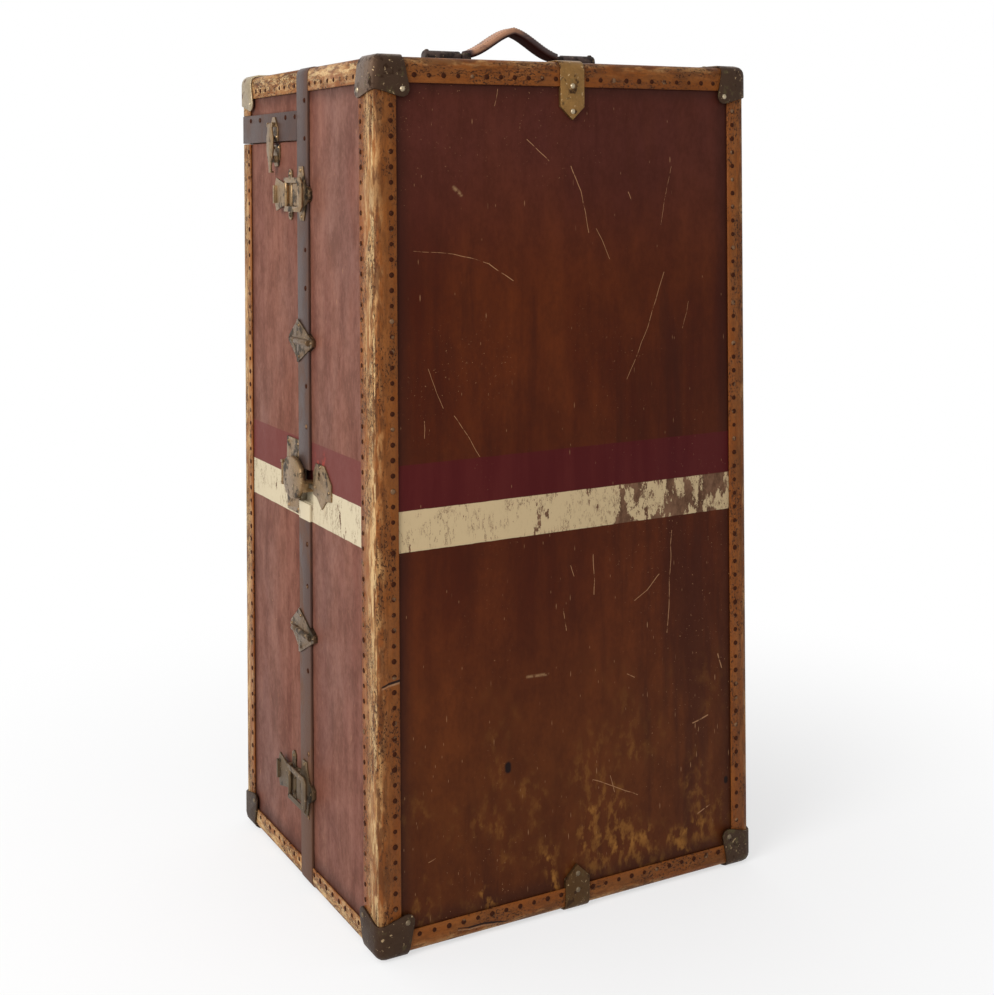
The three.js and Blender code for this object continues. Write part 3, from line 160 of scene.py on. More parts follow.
class Bench:
    """Adds nodes to one tree; a number, a colour or a socket can feed any input."""

    def __init__(self, tree):
        self.tree = tree

    def add(self, kind, feeds=None, **settings):
        node = self.tree.nodes.new(kind)
        count = len(self.tree.nodes)
        node.location = (190 * (count // 6), -210 * (count % 6))
        for name, value in settings.items():
            setattr(node, name, value)
        for key, value in (feeds or {}).items():
            self.feed(node.inputs[key], value)
        return node

    def feed(self, socket, value):
        if isinstance(value, bpy.types.NodeSocket):
            self.tree.links.new(value, socket)
        elif socket.type == "RGBA" and len(value) == 3:
            socket.default_value = (*value, 1)
        else:
            socket.default_value = value

    def math(self, operation, *values, clamp=False):
        feeds = dict(enumerate(values))
        return self.add("ShaderNodeMath", feeds, operation=operation, use_clamp=clamp).outputs[0]

    def vector(self, operation, *values):
        node = self.add("ShaderNodeVectorMath", dict(enumerate(values)), operation=operation)
        return node.outputs["Value" if operation in ("DOT_PRODUCT", "LENGTH", "DISTANCE") else 0]

    def plus(self, first, second):
        return self.math("ADD", first, second)

    def less(self, first, second):
        return self.math("SUBTRACT", first, second)

    def off(self, value, level):
        """How far a value is from a level, either way."""
        return self.math("ABSOLUTE", self.less(value, level))

    def either(self, *masks):
        whole = masks[0]
        for mask in masks[1:]:
            whole = self.math("MAXIMUM", whole, mask)
        return whole

    def both(self, *masks):
        whole = masks[0]
        for mask in masks[1:]:
            whole = self.math("MULTIPLY", whole, mask)
        return whole

    def step(self, value, low, high, start=0.0, end=1.0):
        """Rises smoothly from start to end while value goes from low to high."""
        feeds = {0: value, 1: low, 2: high, 3: start, 4: end}
        return self.add("ShaderNodeMapRange", feeds, interpolation_type="SMOOTHSTEP").outputs[0]

    def lay(self, under, over, *masks):
        """Lays one colour over another by the product of the masks."""
        feeds = {0: self.both(*masks), 6: under, 7: over}
        return self.add("ShaderNodeMix", feeds, data_type="RGBA").outputs[2]

    def place(self):
        return self.add("ShaderNodeTexCoord").outputs["Object"]

    def axes(self, place=None):
        return self.add("ShaderNodeSeparateXYZ", {0: place or self.place()}).outputs

    def cloud(self, place, scale, detail, rough):
        feeds = {"Vector": place, "Scale": scale, "Detail": detail, "Roughness": rough}
        return self.add("ShaderNodeTexNoise", feeds).outputs[0]

    def noise(self, scale, stretch=(1, 1, 1), detail=3.0, rough=0.55):
        return self.cloud(self.vector("MULTIPLY", self.place(), stretch), scale, detail, rough)

    def effect(self, group, output, **feeds):
        return self.add("ShaderNodeGroup", feeds, node_tree=group).outputs[output]

    def stain(self, scale, threshold=0.5, softness=0.1, stretch=(1, 1, 1), shift=(0, 0, 0)):
        return self.effect(stains(), "Mask", Scale=scale, Stretch=stretch, Shift=shift,
                           Threshold=threshold, Softness=softness)

    def tone(self, scale, stretch=(1, 1, 1), output="Tone"):
        return self.effect(grain(), output, Scale=scale, Stretch=stretch)

    def wear(self, reach, raggedness):
        return self.effect(edge_wear(), "Mask", Reach=reach, Raggedness=raggedness)

    def marks(self, turn, size, rarity):
        return self.effect(small_marks(), "Mask", Turn=turn, Size=size, Rarity=rarity)

    def stripes(self):
        """Masks of the cream and the maroon stripe."""
        paint = bpy.context.scene.trunk_paint
        levels = {"Low": paint.cream_low, "Middle": paint.cream_high, "High": paint.maroon_high}
        return self.add("ShaderNodeGroup", levels, node_tree=stripe_bands()).outputs


class Coat(Bench):
    """The nodes of a new material round its Principled shader, and its base colour so far."""

    def __init__(self, name, base):
        self.material = bpy.data.materials.new(name)
        self.material.use_nodes = True
        super().__init__(self.material.node_tree)
        self.tree.nodes.clear()
        self.shader = self.add("ShaderNodeBsdfPrincipled")
        self.end = self.add("ShaderNodeOutputMaterial", {"Surface": self.shader.outputs[0]})
        self.base = base

    def over(self, colour, *masks):
        """Lays a colour over the base by the product of the masks."""
        self.base = self.lay(self.base, colour, *masks)

    def dress(self, rough, bump, **others):
        """Feeds the shader; bump is a height, its distance and its force."""
        height, distance, force = bump
        feeds = {"Height": height, "Distance": distance, "Strength": force}
        normal = self.add("ShaderNodeBump", feeds).outputs[0]
        feeds = {"Base Color": self.base, "Roughness": rough, "Normal": normal, **others}
        for name, value in feeds.items():
            self.feed(self.shader.inputs[name], value)
        return self.material


def effect_group(name, inputs, outputs, build):
    """A shader group, built once; build gets a bench and the inputs and returns the outputs."""
    existing = bpy.data.node_groups.get(name)
    if existing:
        return existing
    tree = bpy.data.node_groups.new(name, "ShaderNodeTree")
    for label, value in inputs.items():
        kind = "NodeSocketVector" if isinstance(value, tuple) else "NodeSocketFloat"
        tree.interface.new_socket(label, in_out="INPUT", socket_type=kind).default_value = value
    for label in outputs:
        tree.interface.new_socket(label, in_out="OUTPUT", socket_type="NodeSocketFloat")
    bench = Bench(tree)
    results = build(bench, bench.add("NodeGroupInput").outputs)
    bench.add("NodeGroupOutput", dict(enumerate(results)))
    return tree


def stains():
    """Soft clouds: 1 where the noise is above the threshold."""
    def build(bench, given):
        place = bench.vector("MULTIPLY", bench.place(), given["Stretch"])
        place = bench.vector("ADD", place, given["Shift"])
        cloud = bench.cloud(place, given["Scale"], 5.0, 0.6)
        high = bench.plus(given["Threshold"], given["Softness"])
        return [bench.step(cloud, given["Threshold"], high)]
    return effect_group("Stains", {
        "Scale": 10,
        "Stretch": (1, 1, 1),
        "Shift": (0, 0, 0),
        "Threshold": 0.5,
        "Softness": 0.1,
    }, ["Mask"], build)


def grain():
    """Fine surface grain: a tone around a half and a height."""
    def build(bench, given):
        place = bench.vector("MULTIPLY", bench.place(), given["Stretch"])
        fine = bench.cloud(place, given["Scale"], 6.0, 0.7)
        coarse = bench.cloud(place, bench.both(given["Scale"], 0.22), 3.0, 0.5)
        return [bench.step(bench.plus(fine, coarse), 0.7, 1.3), fine]
    return effect_group("Grain", {"Scale": 200, "Stretch": (1, 1, 1)}, ["Tone", "Height"], build)


def trunk_edges():
    """Distance to the nearest edge of the trunk."""
    def build(bench, given):
        x, y, z = bench.axes()
        beside = bench.less(TRUNK_HIGH.x, bench.math("ABSOLUTE", x))
        behind = bench.less(TRUNK_HIGH.y, bench.math("ABSOLUTE", y))
        above = bench.less(TRUNK_HIGH.z, z)
        below = bench.less(z, TRUNK_LOW.z)
        ends = bench.math("MINIMUM", above, below)
        least = bench.math("MINIMUM", beside, behind)
        most = bench.either(beside, behind)
        return [bench.either(least, bench.math("MINIMUM", most, ends))]
    return effect_group("Trunk edges", {}, ["Edge"], build)


def edge_wear():
    """1 on the trunk's edges, fading raggedly over the reach."""
    def build(bench, given):
        ragged = bench.less(bench.noise(46, (1, 1, 0.5), 5.0, 0.65), 0.5)
        edge = bench.effect(trunk_edges(), "Edge")
        distance = bench.plus(edge, bench.both(ragged, given["Raggedness"]))
        return [bench.step(distance, 0.0, given["Reach"], 1.0, 0.0)]
    return effect_group("Edge wear", {"Reach": 0.01, "Raggedness": 0.02}, ["Mask"], build)


def hairline():
    """One scratch across a place, from one point to another; it joins the marks before it."""
    def build(bench, given):
        along = bench.vector("SUBTRACT", given["To"], given["From"])
        offset = bench.vector("SUBTRACT", given["Place"], given["From"])
        reach = bench.vector("DOT_PRODUCT", offset, along)
        share = bench.math("DIVIDE", reach, bench.vector("DOT_PRODUCT", along, along), clamp=True)
        nearest = bench.add("ShaderNodeVectorMath", {0: along, 3: share}, operation="SCALE").outputs[0]
        gap = bench.vector("DISTANCE", offset, nearest)
        return [bench.either(given["Before"], bench.step(gap, 0.0, given["Width"], 1.6, 0.0))]
    return effect_group("Hairline", {
        "Place": (0, 0, 0),
        "From": (0, 0, 0),
        "To": (0, 0, 1),
        "Width": 0.001,
        "Before": 0.0,
    }, ["Mask"], build)


def small_marks():
    """Short thin scratches strewn over a surface."""
    def build(bench, given):
        feeds = {"Vector": bench.place(), "Rotation": given["Turn"], "Scale": given["Size"]}
        turned = bench.add("ShaderNodeMapping", feeds).outputs[0]
        cells = bench.add("ShaderNodeTexVoronoi", {"Vector": turned, "Scale": 1.0}).outputs
        near = bench.step(cells["Distance"], 0.06, 0.16, 1.0, 0.0)
        pick = bench.axes(cells["Color"])[0]
        return [bench.both(near, bench.math("GREATER_THAN", pick, given["Rarity"]))]
    return effect_group("Small marks", {
        "Turn": (0.2, 0.2, 0),
        "Size": (220, 220, 14),
        "Rarity": 0.9,
    }, ["Mask"], build)


def stripe_bands():
    """1 inside the cream stripe, 1 inside the maroon stripe."""
    def build(bench, given):
        shake = bench.less(bench.noise(60, detail=4.0), 0.5)
        height = bench.plus(bench.axes()[2], bench.both(shake, 0.0014))
        softness = 0.0007

        def over(level):
            return bench.step(height, bench.less(level, softness), level)

        low = over(given["Low"])
        middle = over(given["Middle"])
        high = over(given["High"])
        return [bench.less(low, middle), bench.less(middle, high)]
    return effect_group("Stripes", {
        "Low": 0.4915,
        "Middle": 0.542,
        "High": 0.598,
    }, ["Cream", "Maroon"], build)


# Materials

class Tone:
    """Colours of single layers, as linear red, green and blue."""

    PANEL_TOP = (0.084, 0.022, 0.016)
    PANEL_FOOT = (0.112, 0.031, 0.0058)
    PANEL_DRIP = (0.034, 0.007, 0.003)
    PANEL_FLECK = (0.040, 0.009, 0.004)
    PANEL_EDGE_DARK = (0.028, 0.009, 0.006)
    # Tones of the left panel, lightened and greyed as painted sheen
    LEFT_SHEEN_STREAK = (0.150, 0.048, 0.030)
    LEFT_SHEEN_CLOUD = (0.185, 0.100, 0.080)
    MAROON_STREAK = (0.105, 0.016, 0.014)
    # Maroon stripe on the left panel, laid paler as painted sheen
    MAROON_LEFT_SHEEN = (0.160, 0.044, 0.036)
    CREAM_FRONT = (0.535, 0.400, 0.228)
    BARED_PALE = (0.200, 0.105, 0.060)
    BARED_DARK = (0.085, 0.040, 0.022)
    PALE_SMEAR = (0.45, 0.27, 0.13)
    DARK_SPOT = (0.012, 0.005, 0.004)
    RED_PAINT = (0.33, 0.045, 0.030)
    BINDING_CLOUD = (0.160, 0.042, 0.008)
    BINDING_GRAIN = (0.29, 0.090, 0.012)
    BINDING_RUBBED = (0.315, 0.152, 0.055)
    BINDING_STREAK = (0.105, 0.033, 0.008)
    BINDING_PALE = (0.640, 0.440, 0.215)
    BINDING_DIRT = (0.100, 0.032, 0.008)
    TORN_LIP = (0.420, 0.240, 0.130)
    TORN_GAP = (0.016, 0.005, 0.003)
    IRON_GRAIN = (0.050, 0.034, 0.031)
    VERDIGRIS = (0.130, 0.110, 0.045)
    RUBBED_FLECK = (0.62, 0.44, 0.24)
    BRONZE_FILM = (0.035, 0.017, 0.009)
    BRIGHT_BRONZE = (0.430, 0.340, 0.210)
    RIVET = (0.480, 0.390, 0.260)
    RIVET_FILM = (0.110, 0.075, 0.045)
    DARK_BRASS = (0.190, 0.118, 0.062)
    CLAMP_BRASS = (0.350, 0.185, 0.056)
    CLAMP_FILM = (0.045, 0.021, 0.009)
    BRACKET = (0.075, 0.048, 0.040)
    BRACKET_FILM = (0.022, 0.014, 0.012)
    NAIL_RUST = (0.042, 0.012, 0.005)
    NAIL_BARE = (0.190, 0.105, 0.055)
    LEATHER_GRAIN = (0.017, 0.008, 0.007)
    LEATHER_SEAM = (0.030, 0.010, 0.007)
    THREAD_PALE = (0.30, 0.19, 0.09)
    THREAD_DARK = (0.13, 0.075, 0.035)
    WOOD_RING = (0.270, 0.120, 0.040)
    WOOD_PORE = (0.150, 0.065, 0.024)
    LINING_YARN = (0.400, 0.315, 0.205)
    LINING_AGE = (0.300, 0.200, 0.110)
    STEEL = (0.50, 0.48, 0.44)
    STEEL_SPOT = (0.15, 0.09, 0.06)


# Marks seen on the front: x and z of both ends and the width, in millimetres
SCRATCHES = [
    (-67, 998, -34, 968, 1.3), (2, 962, 15, 929, 1.6), (15, 929, 28, 875, 1.3),
    (39, 880, 59, 841, 1.0), (-226, 860, -172, 853, 0.7), (-172, 853, -122, 841, 1.0),
    (-122, 841, -87, 818, 1.4), (157, 961, 140, 883, 0.8), (144, 819, 118, 747, 1.2),
    (118, 747, 84, 680, 1.0), (-207, 713, -187, 663, 0.7), (-173, 652, -135, 599, 0.9),
    (-109, 1059, -113, 1038, 1.0), (89, 928, 94, 917, 1.3), (186, 780, 175, 742, 0.8),
    (-213, 650, -213, 629, 1.0), (30, 455, 30, 403, 1.4), (134, 416, 115, 397, 1.5),
    (115, 397, 94, 386, 1.2), (156, 472, 150, 400, 1.3), (150, 400, 145, 337, 1.6),
    (-16, 390, -12, 363, 1.3), (-5, 445, 0, 431, 1.2), (188, 207, 213, 212, 2.6),
    (232, 292, 237, 274, 2.2), (80, 291, 91, 284, 1.2), (28, 161, 96, 128, 1.3),
    (54, 162, 60, 138, 1.2), (194, 83, 215, 90, 2.0), (-209, 105, -200, 109, 1.4),
]
PALE_SMEARS = [(-71, 313, -41, 311, 6), (-171, 936, -162, 926, 8)]
OCHRE_SMEARS = [
    (26, 120, 12, 80, 30), (-44, 74, -28, 26, 26), (-134, 49, -126, 33, 30),
    (173, 37, 158, 66, 30), (60, 66, 110, 76, 30), (150, 60, 200, 70, 26),
]
DARK_SPOTS = [(-99, 203, -99, 198, 14), (242, 120, 242, 117, 10)]
# A split across the near leg's binding and a tear along the bottom one
LEG_SPLIT = [(-276, 332, -265, 336, 3.4), (-265, 336, -250, 338, 4.6)]
FOOT_TEAR = [
    (-173, 18, -158, 15.5, 1.6), (-158, 15.5, -138, 15.7, 3.0), (-138, 15.7, -120, 13.1, 3.4),
    (-120, 13.1, -98, 8.5, 3.0), (-98, 8.5, -81, 10.6, 2.4), (-81, 10.6, -62, 10.6, 1.6),
]


def front_marks(bench, place, rows, level=SHELL_LOW.y):
    """Marks on the front, joined; where the place wanders, no line is straight."""
    whole = 0.0
    for start_x, start_z, end_x, end_z, width in rows:
        whole = bench.effect(
            hairline(),
            "Mask",
            Place=place,
            From=(start_x * MM, level, start_z * MM),
            To=(end_x * MM, level, end_z * MM),
            Width=width * MM / 2,
            Before=whole,
        )
    return whole


def fibre_material(name):
    """Painted fibre panels: dark on the front, painted sheen on the left, with their stripes and marks."""
    paint = bpy.context.scene.trunk_paint
    coat = Coat(name, paint.fibre_deep)
    x, y, z = coat.axes()
    front = coat.step(y, SHELL_LOW.y + 0.002, SHELL_LOW.y + 0.004, 1.0, 0.0)
    left = coat.step(x, SHELL_LOW.x + 0.002, SHELL_LOW.x + 0.004, 1.0, 0.0)
    # Clouded ground with upright streaks
    cloud = coat.stain(5, 0.41, 0.22, (1, 1, 0.5))
    streak = coat.stain(30, 0.39, 0.25, (1, 1, 0.10))
    fleck = coat.tone(170, (1, 1, 0.6))
    warmth = coat.plus(coat.both(cloud, 0.55), coat.both(streak, 0.3))
    warmth = coat.math("ADD", warmth, coat.both(coat.step(z, 0.70, 0.10), 0.15), clamp=True)
    coat.over(paint.fibre_warm, warmth)
    coat.over(Tone.PANEL_TOP, coat.step(z, 0.78, 1.02, 0.0, 0.7))
    coat.over(Tone.PANEL_FOOT, coat.step(z, 0.46, 0.16, 0.0, 0.6))
    coat.over(Tone.PANEL_DRIP, coat.stain(16, 0.52, 0.12, (1, 1, 0.11), (4, 2, 9)), 0.55)
    # Left panel: laid lighter and greyer, a painted sheen of the bright backdrop
    lightened = coat.lay(paint.fibre_left_sheen, Tone.LEFT_SHEEN_STREAK, streak, 0.8)
    lightened = coat.lay(lightened, Tone.LEFT_SHEEN_CLOUD, cloud, 0.4)
    coat.over(lightened, left)
    coat.over(Tone.PANEL_FLECK, fleck, 0.45)
    # Ochre rubbing low on the front
    rub = coat.stain(11, 0.44, 0.22, (1, 1, 0.8))
    ragged = coat.stain(85, 0.44, 0.20, (1, 1, 0.6))
    coat.over(paint.scuff, coat.step(z, 0.36, 0.03), rub, ragged, front, 0.75)
    # Darker in a band along the bindings' edges
    edge = coat.effect(trunk_edges(), "Edge")
    coat.over(Tone.PANEL_EDGE_DARK, coat.step(edge, 0.030, 0.055, 0.55, 0.0))
    # Stripes; the cream one flakes off toward the right
    cream, maroon = coat.stripes()
    dark_red = coat.lay(paint.maroon, Tone.MAROON_STREAK, streak, 0.35)
    # The maroon stripe is laid paler on the left panel: painted sheen
    dark_red = coat.lay(dark_red, Tone.MAROON_LEFT_SHEEN, left, 0.7)
    coat.over(dark_red, maroon, 0.92)
    loss = coat.both(coat.step(x, -0.22, 0.20), front)
    limit = coat.step(loss, 0.0, 1.0, 0.615, 0.475)
    flaked = coat.step(coat.noise(44, (1, 1, 0.42), 6.0, 0.68), limit, coat.plus(limit, 0.025))
    speck = coat.step(coat.noise(210, (1, 1, 0.6), 4.0, 0.7), 0.56, 0.60)
    flaked = coat.either(flaked, coat.both(speck, coat.step(loss, 0.45, 0.95, 0.05, 0.9)))
    crack = coat.off(coat.noise(95, (1, 1, 0.26), 5.0, 0.7), 0.5)
    crack = coat.both(coat.step(crack, 0.005, 0.016, 0.8, 0.0), coat.stain(26, 0.46, 0.1))
    bared = coat.either(flaked, crack)
    pale = coat.lay(paint.cream, Tone.CREAM_FRONT, front)
    pale = coat.lay(pale, coat.lay(Tone.BARED_PALE, Tone.BARED_DARK, fleck), bared)
    coat.over(pale, cream)
    # Scratches and spots
    drift = coat.add("ShaderNodeTexNoise", {"Vector": coat.place(), "Scale": 14.0}).outputs[1]
    drift = coat.vector("MULTIPLY", coat.vector("SUBTRACT", drift, (0.5, 0.5, 0.5)), (0.012, 0, 0.012))
    wandering = coat.vector("ADD", coat.place(), drift)
    broken = coat.step(coat.noise(120, detail=4.0), 0.34, 0.52)
    lines = coat.math("MULTIPLY", front_marks(coat, wandering, SCRATCHES), broken, clamp=True)
    upright = coat.marks((0.25, 0.35, 0.0), (200, 200, 30), coat.step(z, 0.75, 0.10, 0.945, 0.85))
    crossing = coat.marks((0.9, 0.8, 0.4), (250, 250, 60), coat.step(z, 0.75, 0.10, 0.955, 0.87))
    scratched = coat.either(
        coat.both(lines, 0.8),
        coat.both(upright, coat.step(coat.noise(35), 0.40, 0.62, 0.15, 0.7)),
        coat.both(crossing, 0.42),
        coat.both(coat.stain(310, 0.66, 0.04), coat.stain(6, 0.45, 0.2, shift=(2, 6, 1)), 0.6),
    )
    coat.over(paint.scratch, scratched)
    coat.over(Tone.PALE_SMEAR, front_marks(coat, wandering, PALE_SMEARS), broken, 0.28)
    coat.over(paint.scuff, front_marks(coat, wandering, OCHRE_SMEARS), ragged, 0.6)
    coat.over(Tone.DARK_SPOT, front_marks(coat, wandering, DARK_SPOTS), 1.2)
    # Red paint smeared above the lock plate
    across = coat.step(coat.off(y, -0.055), 0.004, 0.026, 1.0, 0.0)
    up = coat.step(coat.off(z, 0.578), 0.002, 0.018, 0.8, 0.0)
    coat.over(Tone.RED_PAINT, left, across, up, coat.stain(70, 0.5, 0.08))
    rough = coat.plus(coat.plus(0.46, coat.both(fleck, 0.12)), coat.both(cream, 0.12))
    film = coat.both(cream, coat.less(1.0, bared), 0.5)
    height = coat.plus(coat.both(coat.tone(420, output="Height"), 0.5), film)
    return coat.dress(rough, (height, 0.0004, 0.6), IOR=1.17)


def binding_material(name, stretch, tears):
    """Fibre binding; stretch draws its cracks along the strip, and the tears bare a dark gap."""
    finish = bpy.context.scene.trunk_finish
    coat = Coat(name, finish.binding)
    tone = coat.tone(120, stretch)
    coat.over(Tone.BINDING_CLOUD, coat.stain(24, 0.42, 0.2, stretch), 0.5)
    coat.over(Tone.BINDING_GRAIN, tone, 0.3)
    # The side legs are rubbed across most of their width, the front legs only at the edge
    sideways = coat.math("ABSOLUTE", coat.axes()[0])
    beside = coat.step(sideways, TRUNK_HIGH.x - 0.0020, TRUNK_HIGH.x - 0.0008)
    wide = coat.wear(0.046, 0.03)
    across = coat.both(wide, coat.plus(0.12, coat.both(beside, 0.78)))
    rubbed = coat.stain(95, 0.40, 0.16, stretch)
    coat.over(Tone.BINDING_RUBBED, across, 0.75)
    crest = coat.wear(0.013, 0.02)
    coat.over(finish.binding_worn, coat.either(across, crest), rubbed, 0.85)
    # Dark streaks beside the edge, and pale ones on the rubbed legs
    streak = coat.stain(125, 0.46, 0.10, stretch, (2, 8, 4))
    coat.over(Tone.BINDING_STREAK, streak, coat.wear(0.030, 0.02), 0.85)
    pale = coat.stain(170, 0.48, 0.08, stretch, (6, 1, 9))
    coat.over(Tone.BINDING_PALE, pale, wide, beside, 0.7)
    # Cracks and pores
    patches = coat.stain(42, 0.46, 0.10, stretch, (3, 1, 2))
    crack = coat.step(coat.off(coat.noise(230, stretch, 6.0, 0.8), 0.5), 0.008, 0.026, 1.0, 0.0)
    crack = coat.both(crack, patches, coat.plus(0.35, coat.both(across, 0.6)))
    pore = coat.stain(430, 0.54, 0.05, tuple(0.5 + 0.5 * size for size in stretch))
    crack = coat.either(crack, coat.both(pore, coat.plus(0.22, coat.both(patches, 0.75))))
    coat.over(Tone.BINDING_DIRT, coat.stain(13, 0.50, 0.2, shift=(7, 3, 5)), 0.45)
    coat.over(finish.binding_crack, crack)
    # A tear is a dark gap with a pale lip below it
    face = -TRUNK_HIGH.y
    below = coat.vector("ADD", coat.place(), (0, 0, 0.0024))
    ragged = coat.plus(0.1, coat.both(tone, 0.5))
    coat.over(Tone.TORN_LIP, front_marks(coat, below, tears, face), ragged)
    coat.over(Tone.TORN_GAP, front_marks(coat, coat.place(), tears, face), 1.2)
    rough = coat.plus(0.42, coat.both(tone, 0.2))
    height = coat.less(coat.both(tone, 0.5), crack)
    return coat.dress(rough, (height, 0.0006, 0.7), IOR=1.22)


def iron_material(name, painted=False):
    """Dull iron; the band round the mouth also carries the cream stripe."""
    finish = bpy.context.scene.trunk_finish
    coat = Coat(name, finish.iron)
    height = coat.axes()[2]
    tone = coat.tone(160)
    rust = coat.stain(22, 0.47, 0.16, (1, 1, 0.5))
    rust = coat.both(rust, coat.step(height, 0.95, 0.15, 0.35, 1.0))
    rust = coat.either(rust, coat.step(height, 0.55, 0.05, 0.0, 0.75))
    coat.over(Tone.IRON_GRAIN, tone, 0.4)
    coat.over(finish.rust, rust, 0.8)
    metal = coat.less(0.42, coat.both(rust, 0.36))
    rough = coat.plus(0.42, coat.both(rust, 0.25))
    if painted:
        cream = coat.both(coat.stripes()[0], coat.stain(55, 0.36, 0.05, (1, 1, 0.5)))
        coat.over(bpy.context.scene.trunk_paint.cream, cream)
        metal = coat.both(metal, coat.less(1.0, cream))
        rough = coat.either(rough, coat.both(cream, 0.55))
    return coat.dress(rough, (tone, 0.0003, 0.6), Metallic=metal, IOR=1.3)


def cast_metal(name, clean, film, film_share, metallic, rough, front_shade=0.0):
    """Bronze or brass under a dark film that wears off its high places and is darker toward the floor;
    faces that look ahead get the film as painted shade.
    """
    coat = Coat(name, clean)
    _, depth, height = coat.axes()
    tone = coat.tone(190)
    # Painted shade: faces that look ahead are laid with the dark film
    ahead_shade = coat.step(depth, 0.001 - TRUNK_HIGH.y, 0.005 - TRUNK_HIGH.y, front_shade, 0.0)
    foot = coat.step(height, 0.30, 0.06, 0.0, 0.85)
    cloud = coat.either(coat.stain(58, film_share, 0.14), ahead_shade, foot)
    coat.over(film, cloud)
    coat.over(film, tone, 0.35)
    coat.over(Tone.VERDIGRIS, coat.stain(85, 0.57, 0.1, shift=(5, 2, 1)), 0.3)
    coat.over(Tone.RUBBED_FLECK, coat.stain(230, 0.63, 0.05, shift=(1, 7, 3)), 0.55)
    height = coat.plus(coat.both(tone, 0.6), coat.both(cloud, 0.4))
    rough = coat.plus(rough, coat.both(cloud, 0.22))
    return coat.dress(rough, (height, 0.0006, 0.8), Metallic=metallic, IOR=1.3)


def nail_material(name):
    """Nail heads, dark with rust and bare here and there."""
    coat = Coat(name, Tone.NAIL_RUST)
    bare = coat.stain(38, 0.55, 0.08)
    coat.over(Tone.NAIL_BARE, bare)
    bump = (coat.tone(600, output="Height"), 0.0002, 0.5)
    return coat.dress(0.5, bump, Metallic=coat.both(bare, 0.7), IOR=1.12)


def leather_material(name):
    """Handle leather: u runs from left to right along it and v round it, from under its middle."""
    finish = bpy.context.scene.trunk_finish
    coat = Coat(name, finish.leather)
    along, around, _ = coat.axes(coat.add("ShaderNodeUVMap", uv_map="UVMap").outputs[0])
    tone = coat.tone(330)
    creases = coat.noise(90, (0.35, 1, 1), 5.0, 0.7)
    # Rubbed to tan up to the crest, on the top and the sides
    upper = coat.both(coat.step(around, 0.20, 0.26), coat.step(around, 0.80, 0.74))
    edge = coat.plus(along, coat.both(coat.less(creases, 0.5), 0.35))
    slope = coat.both(coat.step(along, 0.0, 0.06), coat.step(edge, 0.66, 0.46))
    worn = coat.both(upper, slope, coat.step(creases, 0.34, 0.50, 0.25, 1.0))
    faint = coat.both(upper, coat.step(creases, 0.56, 0.66), 0.35)
    seam = coat.step(coat.off(around, 0.215), 0.004, 0.012, 0.7, 0.0)
    coat.over(Tone.LEATHER_GRAIN, tone, 0.5)
    coat.over(finish.leather_worn, coat.either(worn, faint))
    coat.over(Tone.LEATHER_SEAM, seam)
    rough = coat.plus(0.38, coat.both(worn, 0.22))
    height = coat.less(coat.plus(coat.both(tone, 0.4), coat.both(creases, 0.6)), seam)
    return coat.dress(rough, (height, 0.0008, 0.6))


def thread_material(name):
    coat = Coat(name, Tone.THREAD_PALE)
    tone = coat.tone(900)
    coat.over(Tone.THREAD_DARK, tone)
    return coat.dress(0.7, (tone, 0.0002, 0.5))


def wood_material(name):
    """Close-grained wood; the rings are drawn out along x."""
    coat = Coat(name, bpy.context.scene.trunk_finish.wood)
    rings = coat.math("FRACT", coat.both(coat.noise(22, (0.10, 1.0, 1.6), 4.0, 0.6), 14.0))
    rings = coat.step(coat.off(rings, 0.5), 0.05, 0.5)
    pores = coat.tone(300, (0.08, 1, 1))
    coat.over(Tone.WOOD_RING, rings, 0.6)
    coat.over(Tone.WOOD_PORE, pores, 0.35)
    return coat.dress(coat.plus(0.38, coat.both(pores, 0.18)), (pores, 0.0003, 0.5))


def cloth_material(name, ground, yarn):
    """Plain woven lining, glued flat; the weave follows x, y and z."""
    coat = Coat(name, ground)
    x, y, z = coat.axes()
    yarn_pitch = 0.0013
    turn = 2 * math.pi / yarn_pitch
    across = coat.math("SINE", coat.both(coat.plus(x, y), turn))
    weave = coat.step(coat.both(across, coat.math("SINE", coat.both(z, turn))), -1.0, 1.0)
    coat.over(yarn, weave)
    coat.over(Tone.LINING_AGE, coat.stain(7, 0.45, 0.25), 0.22)
    return coat.dress(0.85, (weave, 0.0002, 0.5))


def steel_material(name):
    coat = Coat(name, Tone.STEEL)
    drawn = coat.tone(500, (1, 0.05, 1))
    spots = coat.both(coat.stain(60, 0.6, 0.1), 0.5)
    coat.over(Tone.STEEL_SPOT, spots)
    rough = coat.plus(0.24, coat.both(drawn, 0.15))
    return coat.dress(rough, (drawn, 0.0001, 0.4), Metallic=coat.less(1.0, spots))


